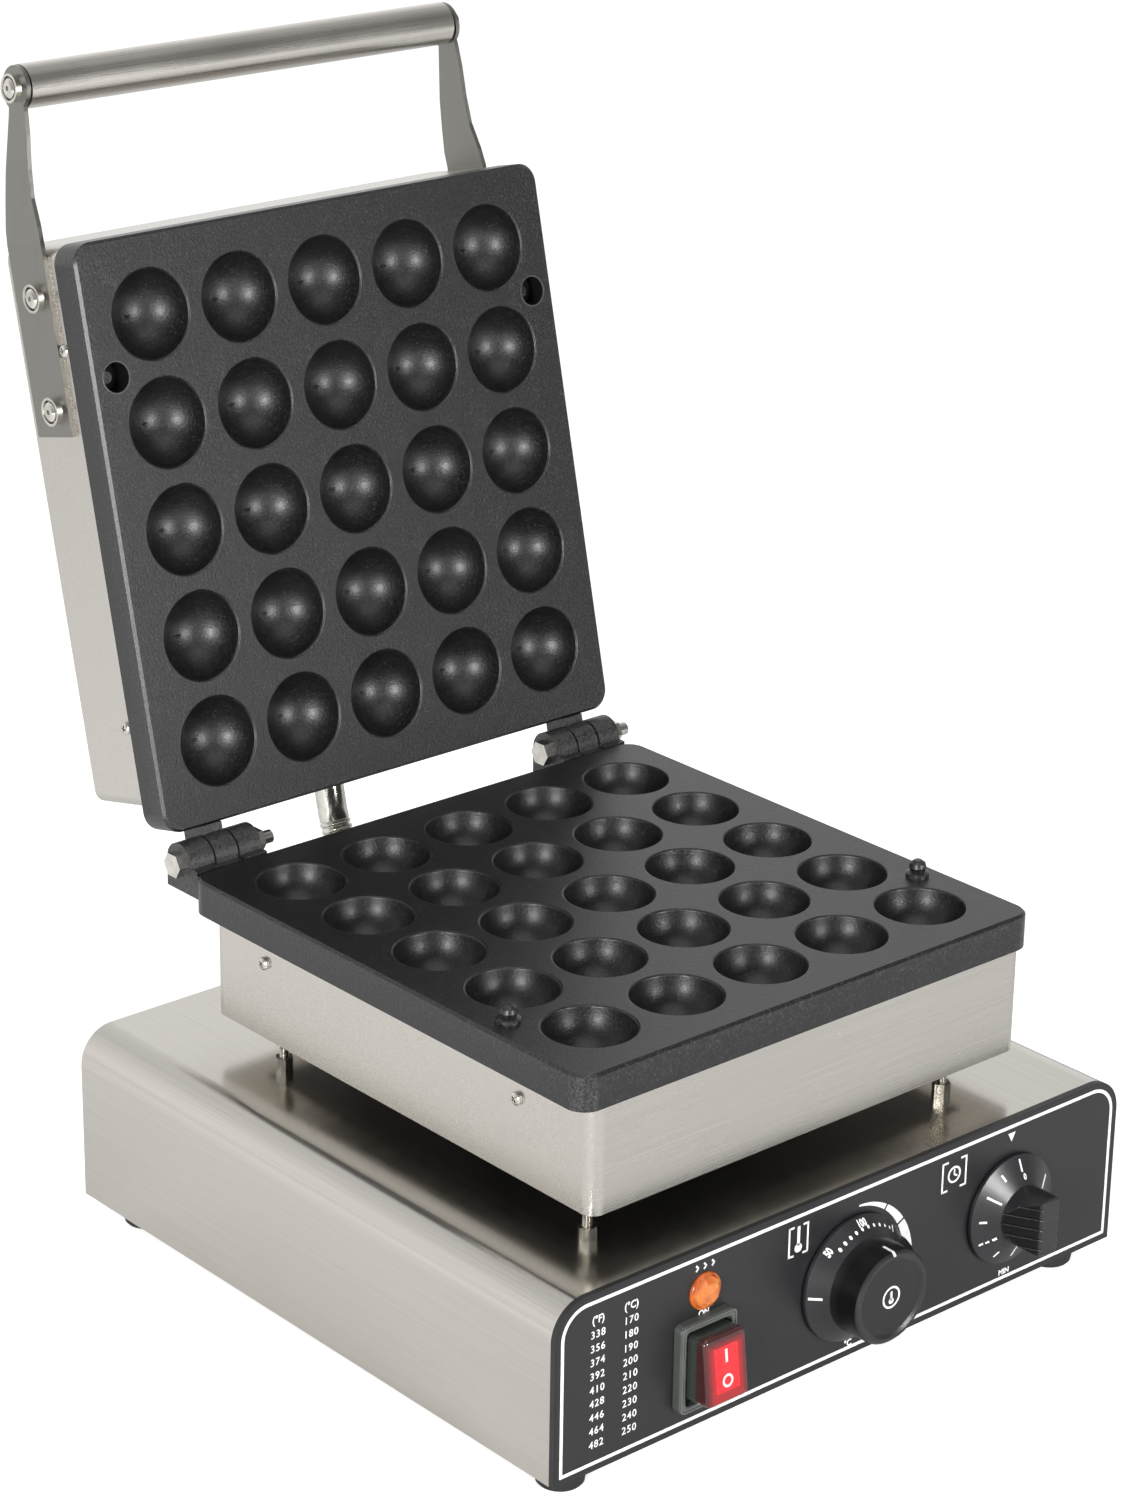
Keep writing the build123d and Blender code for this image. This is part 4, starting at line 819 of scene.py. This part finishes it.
def grip_sign():
    """Ring with a small sign in the middle of the round grip, and the pointer line over its rim."""
    face = PANEL_FACE - 23.1 * MM
    stem = bar(KNOB_T.x, KNOB_T.z - 1.6 * MM, KNOB_T.x, KNOB_T.z + 2.6 * MM, 1.1 * MM)
    bulb = disc(KNOB_T.x, KNOB_T.z - 1.6 * MM, 1.4 * MM, steps=14)
    shapes = ring(KNOB_T.x, KNOB_T.z, 4.0, 4.9) + [stem, bulb]
    flat_print("grip_sign", shapes, face, "temperature_knob")
    width = 0.65 * MM
    points = [(20.54, 17.4), (20.4, 22.8), (19.2, 24.0), (18.7, 24.0)]
    verts = []
    for radius, height in points:
        y, z = PANEL_FACE - (height + 0.03) * MM, KNOB_T.z + (radius + 0.03) * MM
        verts += [Vector((KNOB_T.x + side, y, z)) for side in (-width, width)]
    faces = [(2 * i, 2 * i + 1, 2 * i + 3, 2 * i + 2) for i in range(len(points) - 1)]
    piece = piece_from("grip_pointer_line", verts, faces, white_ink, "temperature_knob", False)
    with_modifier(piece, "SOLIDIFY", thickness=0.05 * MM, offset=0)


dial_marks()
grip_sign()


# Lamp and switch

def lamp_lens():
    """Faceted dome of the pilot lamp with a round rim."""
    dome = [(7.2, 1.0), (6.6, 2.6), (4.6, 3.9), (0.01, 4.0)]
    verts, faces = lathe([(r * MM, h * MM) for r, h in dome], LAMP, FRONT, 10)
    piece = piece_from("lamp_facets", verts, faces, amber, "base", smooth=False)
    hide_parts("pilot_lamp_lens")
    rim = [(0.01, -7.9), (5.9, -7.9), (5.9, 0), (8.0, 0), (8.0, 0.9), (7.7, 1.3), (7.1, 1.4), (6.9, 1.0)]
    verts, faces = lathe([(r * MM, h * MM) for r, h in rim], LAMP, FRONT)
    piece_from("lamp_rim", verts, faces, amber_dark, "base")


def switch_parts():
    """Lips of the switch frame in a lighter grey as a painted highlight, the bright core of the rocker and
    its two signs.
    """
    half_w, half_h = 14.75 * MM, 19.5 * MM
    parts = []
    face = PANEL_FACE - 4.5 * MM
    for inset, width, rise in ((0.35, 0.75, 0.45), (1.6, 0.8, 0.3)):
        outer, inner = [
            rounded_outline(ROCKER.x - half_w + step, ROCKER.x + half_w - step, ROCKER.z - half_h + step,
                            ROCKER.z + half_h - step, [2.4 * MM - 0.6 * step] * 4, 8)
            for step in (inset * MM, (inset + width) * MM)]
        parts.append(ring_strip(outer, inner, face + 0.4 * MM, face - rise * MM))
    verts, faces = join(parts)
    # The lips' lighter grey is a painted highlight on the frame's raised edges
    piece = piece_from("switch_frame_lips", verts, faces, lip_painted_highlight, "base", smooth=False)
    soften(piece, 0.25 * MM)

    place = Matrix.Translation(ROCKER) @ Matrix.Rotation(radians(ROCKER_REST), 4, "X")
    front = rocker_front(place)
    core = rounded_outline(-6.2 * MM, 6.2 * MM, -9.6 * MM, 9.6 * MM, [0.8 * MM] * 4, 5)
    verts, faces = prism(core, front + 0.3 * MM, front - 0.12 * MM)
    verts = [place @ vert for vert in verts]
    piece = piece_from("rocker_core", verts, faces, red_core, "switch_rocker", smooth=False)
    soften(piece, 0.1 * MM)
    marks = [bar(0, 2.6 * MM, 0, 8.2 * MM, 1.2 * MM)] + ring(0, -5.2 * MM, 1.8, 2.8)
    parts = [prism(outline, front - 0.1 * MM, front - 0.2 * MM) for outline in marks]
    verts, faces = join(parts)
    verts = [place @ vert for vert in verts]
    piece_from("rocker_signs", verts, faces, pink_ink, "switch_rocker", False)


def rocker_front(place):
    """Place of the rocker's front face in its own tilted frame, the smallest y of its mesh."""
    back = place.inverted()
    return min((back @ vert.co).y for vert in nodes["switch_rocker"].data.vertices)


pink_ink = printed("pink_ink", colour(250, 214, 214))
lamp_lens()
switch_parts()


# Fasteners

def solid_islands(name):
    """Centre and size of each separate solid of a node, at rest."""
    mesh = nodes[name].data
    parent = list(range(len(mesh.vertices)))

    def root(index):
        while parent[index] != index:
            parent[index] = parent[parent[index]]
            index = parent[index]
        return index

    for edge in mesh.edges:
        first, second = root(edge.vertices[0]), root(edge.vertices[1])
        if first != second:
            parent[first] = second
    groups = {}
    for vert in mesh.vertices:
        groups.setdefault(root(vert.index), []).append(vert.co.copy())
    shells = []
    for points in groups.values():
        low = Vector([min(point[i] for point in points) for i in range(3)])
        high = Vector([max(point[i] for point in points) for i in range(3)])
        shells.append((low, high))
    merged = []
    for low, high in shells:
        for box in merged:
            if all(low[i] <= box[1][i] + 1e-5 and high[i] >= box[0][i] - 1e-5 for i in range(3)):
                for i in range(3):
                    box[0][i] = min(box[0][i], low[i])
                    box[1][i] = max(box[1][i], high[i])
                break
        else:
            merged.append([low, high])
    return merged


def cross_head(origin, direction, radius, height, turn):
    """Vertices and faces of a domed screw head with a cross recess."""
    side, other = axes_for(direction)
    rings = 22
    steps = 64
    arm = 0.12 * radius
    reach = 0.55 * radius
    verts = [origin + direction * height * 0.35]
    for k in range(1, rings + 1):
        share = k / rings
        for i in range(steps):
            angle = 2 * pi * i / steps
            u = share * radius * cos(angle - turn)
            v = share * radius * sin(angle - turn)
            dome = height * (1 - 0.45 * share ** 4)
            near = min(abs(u), abs(v))
            far = max(abs(u), abs(v))
            if near < arm and far < reach:
                dome -= 0.55 * height * min(1.0, (reach - far) / (0.25 * reach))
            out = side * cos(angle) + other * sin(angle)
            verts.append(origin + out * share * radius + direction * dome)
    first = len(verts)
    for i in range(steps):
        angle = 2 * pi * i / steps
        verts.append(origin + (side * cos(angle) + other * sin(angle)) * radius)
    faces = [(0, 1 + i, 1 + (i + 1) % steps) for i in range(steps)]
    for k in range(rings - 1):
        for i in range(steps):
            j = (i + 1) % steps
            a = 1 + k * steps
            faces.append((a + i, a + steps + i, a + steps + j, a + j))
    last = 1 + (rings - 1) * steps
    for i in range(steps):
        j = (i + 1) % steps
        faces.append((last + i, first + i, first + j, last + j))
    faces.append(tuple(reversed(range(first, first + steps))))
    return verts, faces


def threaded(origin, direction, radius, length, pitch=0.8 * MM):
    """Vertices and faces of a threaded end."""
    turns = int(length / pitch)
    outline = [(0.0001 * MM, 0)]
    for i in range(turns):
        low = i * pitch
        outline += [(0.84 * radius, low + 0.1 * pitch), (radius, low + 0.45 * pitch),
                    (radius, low + 0.6 * pitch)]
    outline += [(0.8 * radius, length), (0.0001 * MM, length)]
    return lathe(outline, origin, direction, 32)


def side_screws():
    """Cross-head screws on the sides of both housings."""
    for name, body in (("lower_housing_screws", "base"), ("upper_housing_screws", "lid")):
        parts = []
        for low, high in solid_islands(name):
            centre = (low + high) / 2
            way = RIGHT if centre.x > 0 else -RIGHT
            outer = high.x if centre.x > 0 else low.x
            seat = Vector((outer, centre.y, centre.z)) - way * 2.2 * MM
            parts.append(cross_head(seat, way, 2.9 * MM, 2.2 * MM, 0.3 + centre.y * 9))
            parts.append(threaded(seat, -way, 2.0 * MM, 12 * MM))
        verts, faces = join(parts)
        piece = piece_from(name + "_heads", verts, faces, chrome, body)
        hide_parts(name)


def studs():
    """Threaded studs between the base and the lower housing."""
    parts = []
    for low, high in solid_islands("support_studs"):
        centre = (low + high) / 2
        parts.append(threaded(Vector((centre.x, centre.y, low.z)), UP, 2.0 * MM, high.z - low.z, 0.7 * MM))
    verts, faces = join(parts)
    piece = piece_from("stand_studs", verts, faces, zinc, "base")
    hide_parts("support_studs")


def conduit_hose():
    """Ribbed metal hose with a plain sleeve, from the base up into the back of the open lid."""
    low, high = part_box("conduit")
    middle = (low.x + high.x) / 2
    radius = (high.x - low.x) / 2
    place = Vector((middle, low.y + radius, low.z))
    lean, last = HOSE_LEAN, LID_OPEN - pi / 2
    runs = ((3.0 * MM, 0.0, 0.0), (HOSE_BEND * lean, 0.0, lean), (12.4 * MM, lean, lean),
            (HOSE_BEND * (lean - last), lean, last), (18.0 * MM, last, last))
    total = sum(run[0] for run in runs)
    rings = []
    steps = 20
    pitch = total / HOSE_RIBS
    for i in range(HOSE_RIBS * steps + 1):
        at = total * i / (HOSE_RIBS * steps)
        gone = 0.0
        spot = place.copy()
        for length, start, end in runs:
            part = min(max(at - gone, 0.0), length)
            heading = start + (end - start) * part / length
            if abs(end - start) < 1e-9:
                spot += Vector((0, sin(start), cos(start))) * part
            else:
                turn = length / (end - start)
                spot += Vector((0, cos(start) - cos(heading), sin(heading) - sin(start))) * turn
            if at <= gone + length or (length, start, end) == runs[-1]:
                break
            gone += length
        share = (at / pitch) % 1.0
        swell = 0.5 - 0.5 * cos(2 * pi * share) if at < SLEEVE_START else 0.3
        rings.append((spot, heading, radius * (0.79 + 0.1 * swell ** 0.6)))
    sides = 40
    verts = []
    for spot, heading, size in rings + [(ring[0], ring[1], radius * 0.7) for ring in rings[::-1]]:
        out = Vector((0, cos(heading), -sin(heading)))
        for k in range(sides):
            angle = 2 * pi * k / sides
            verts.append(spot + (RIGHT * cos(angle) + out * sin(angle)) * size)
    count = len(rings) * 2
    faces = []
    for i in range(count):
        first, second = i * sides, (i + 1) % count * sides
        for k in range(sides):
            j = (k + 1) % sides
            faces.append((first + k, first + j, second + j, second + k))
    piece = piece_from("conduit_hose", verts, faces, chrome, None)
    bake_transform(piece)
    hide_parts("conduit")


def lid_place():
    """Matrix from the shut lid's places to the open lid's."""
    return Matrix.Translation(HINGE) @ Matrix.Rotation(-LID_OPEN, 4, "X") @ Matrix.Translation(-HINGE)


def socket_linings():
    """Painted shade as dark linings in the bores of the two sockets in the lid's casting, and their lighter
    rims.
    """
    # The bores' linings are painted shade
    painted_shade_outline = [(6.46, 0.3), (6.46, 8.9), (2.6, 8.95)]
    rim = [(6.4, 0.5), (6.5, -0.02), (6.75, -0.06), (7.0, -0.01)]
    for name, outline, material in (("socket_linings", painted_shade_outline, bore_painted_shade_black),
                                    ("socket_rims", rim, cast_edge)):
        parts = []
        for x in (-SOCKET_X, SOCKET_X):
            spot = Vector((x, PLATE_MIDDLE - SOCKET_Y, LID_FACE))
            parts.append(lathe([(r * MM, h * MM) for r, h in outline], spot, UP, 40))
        verts, faces = join(parts)
        piece_from(name, [lid_place() @ vert for vert in verts], faces, material, "lid")


def pointer_nose():
    """Raised pointer of the round knob, from the grip down to the rim of its skirt."""
    outline = ((19.6, 18.6, 2.3), (22.2, 16.4, 1.9), (24.6, 12.6, 1.4), (26.6, 7.6, 0.8),
               (27.3, 3.6, 0.35))
    out, across = clock_axes(66)
    verts = []
    for radius, height, half in outline:
        foot = 9.2 - (radius - 20.8) * 0.98 - 0.6 if radius > 20.8 else 8.6
        for side, lift in ((-1.5 * half, foot), (-half, height - 0.5), (-0.6 * half, height),
                           (0.6 * half, height), (half, height - 0.5), (1.5 * half, foot)):
            spot = Vector((KNOB_T.x, PANEL_FACE, KNOB_T.z)) + out * radius * MM + across * side * MM
            verts.append(spot + FRONT * lift * MM)
    faces = []
    for i in range(len(outline) - 1):
        for k in range(6):
            j = (k + 1) % 6
            faces.append((6 * i + k, 6 * i + j, 6 * i + 6 + j, 6 * i + 6 + k))
    faces += [tuple(range(6)), tuple(reversed(range(6 * (len(outline) - 1), 6 * len(outline))))]
    piece = piece_from("knob_pointer_nose", verts, faces, knob_black, "temperature_knob")
    soften(piece, 0.3 * MM)


side_screws()
studs()
conduit_hose()
pointer_nose()
socket_linings()


# Scene

def camera():
    """Camera at the photograph's viewing angle."""
    data = bpy.data.cameras.new("camera")
    data.sensor_fit = "HORIZONTAL"
    data.sensor_width = 36.0
    data.lens = CAMERA_LENS
    data.clip_end = 20.0
    item = linked("camera", data)
    azimuth, elevation, roll = (radians(angle) for angle in CAMERA_ANGLES)
    back = Vector((sin(azimuth) * cos(elevation), -cos(azimuth) * cos(elevation), sin(elevation)))
    right = Vector((cos(azimuth), sin(azimuth), 0))
    up = back.cross(right)
    side = right * cos(roll) + up * sin(roll)
    top = up * cos(roll) - right * sin(roll)
    turn = Matrix((side, top, back)).transposed().to_4x4()
    x, y, z = CAMERA_PLACE
    spot = Vector((x, y + PLATE_MIDDLE, z))
    item.matrix_world = Matrix.Translation(spot) @ turn
    bpy.context.scene.camera = item


def softbox(name, azimuth, elevation, distance, size, power):
    """Area light at a direction from the object's middle."""
    data = bpy.data.lights.new(name, "AREA")
    data.shape = "RECTANGLE"
    data.size = size[0]
    data.size_y = size[1]
    data.energy = power
    item = linked(name, data)
    a, e = radians(azimuth), radians(elevation)
    way = Vector((sin(a) * cos(e), -cos(a) * cos(e), sin(e)))
    item.location = Vector((0, 0, 0.2)) + way * distance
    item.rotation_euler = way.to_track_quat("Z", "Y").to_euler()


def floor_and_world():
    """Pale floor that keeps the shadow, and a white background for the camera."""
    size = 3.0
    mesh = bpy.data.meshes.new("floor")
    corners = [(-size, -size, 0), (size, -size, 0), (size, size, 0), (-size, size, 0)]
    mesh.from_pydata(corners, [], [(0, 1, 2, 3)])
    material = bpy.data.materials.new("floor")
    material.use_nodes = True
    tree = material.node_tree
    shader = tree.nodes["Principled BSDF"]
    cloud = tree.nodes.new("ShaderNodeTexNoise")
    cloud.inputs["Scale"].default_value = 3.0
    tone = tree.nodes.new("ShaderNodeValToRGB")
    tone.color_ramp.elements[0].color = (0.72, 0.72, 0.72, 1)
    tone.color_ramp.elements[1].color = (0.76, 0.76, 0.76, 1)
    tree.links.new(cloud.outputs["Fac"], tone.inputs["Fac"])
    tree.links.new(tone.outputs["Color"], shader.inputs["Base Color"])
    shader.inputs["Roughness"].default_value = 0.9
    shader.inputs["Emission Color"].default_value = (1, 1, 1, 1)
    path = tree.nodes.new("ShaderNodeLightPath")
    lift = summed(tree, path.outputs["Is Camera Ray"], None, "MULTIPLY", 0.66)
    parts = separated(tree, tree.nodes.new("ShaderNodeTexCoord").outputs["Object"])
    across = summed(tree, parts["Y"], parts["X"], "SUBTRACT")
    glow = ranged(tree, across, 0.0, LEFT_FLOOR_GLOW, 0.0, 0.7)
    hidden = ranged(tree, path.outputs["Is Camera Ray"], 1.0, 0.0)
    glow = summed(tree, glow, hidden, "MULTIPLY")
    tree.links.new(summed(tree, lift, glow, "ADD"), shader.inputs["Emission Strength"])
    mesh.materials.append(material)
    linked("floor", mesh)

    world = bpy.data.worlds.new("studio")
    bpy.context.scene.world = world
    world.use_nodes = True
    tree = world.node_tree
    tree.nodes.clear()
    output = tree.nodes.new("ShaderNodeOutputWorld")
    seen = tree.nodes.new("ShaderNodeBackground")
    seen.inputs["Color"].default_value = (1, 1, 1, 1)
    lit = tree.nodes.new("ShaderNodeBackground")
    parts = separated(tree, tree.nodes.new("ShaderNodeTexCoord").outputs["Generated"])
    back = ranged(tree, parts["Y"], FRONT_GLOW, BACK_GLOW, -0.5, 0.7)
    high = ranged(tree, parts["Z"], 1.0, OVERHEAD_GLOW, 0.35, 0.9)
    tree.links.new(summed(tree, back, high, "MULTIPLY"), lit.inputs["Strength"])
    path = tree.nodes.new("ShaderNodeLightPath")
    mix = tree.nodes.new("ShaderNodeMixShader")
    tree.links.new(path.outputs["Is Camera Ray"], mix.inputs["Fac"])
    tree.links.new(lit.outputs[0], mix.inputs[1])
    tree.links.new(seen.outputs[0], mix.inputs[2])
    tree.links.new(mix.outputs[0], output.inputs["Surface"])


camera()
floor_and_world()
softbox("front_right_box", 9, 9, 2.6, (0.52, 0.68), 46.0)
softbox("front_left_box", -60, 10, 2.6, (0.52, 0.68), 62.0)
softbox("top_box", -20, 72, 2.4, (2.0, 2.0), 18.0)
bpy.context.scene.view_settings.view_transform = "Standard"

bpy.context.view_layer.update()
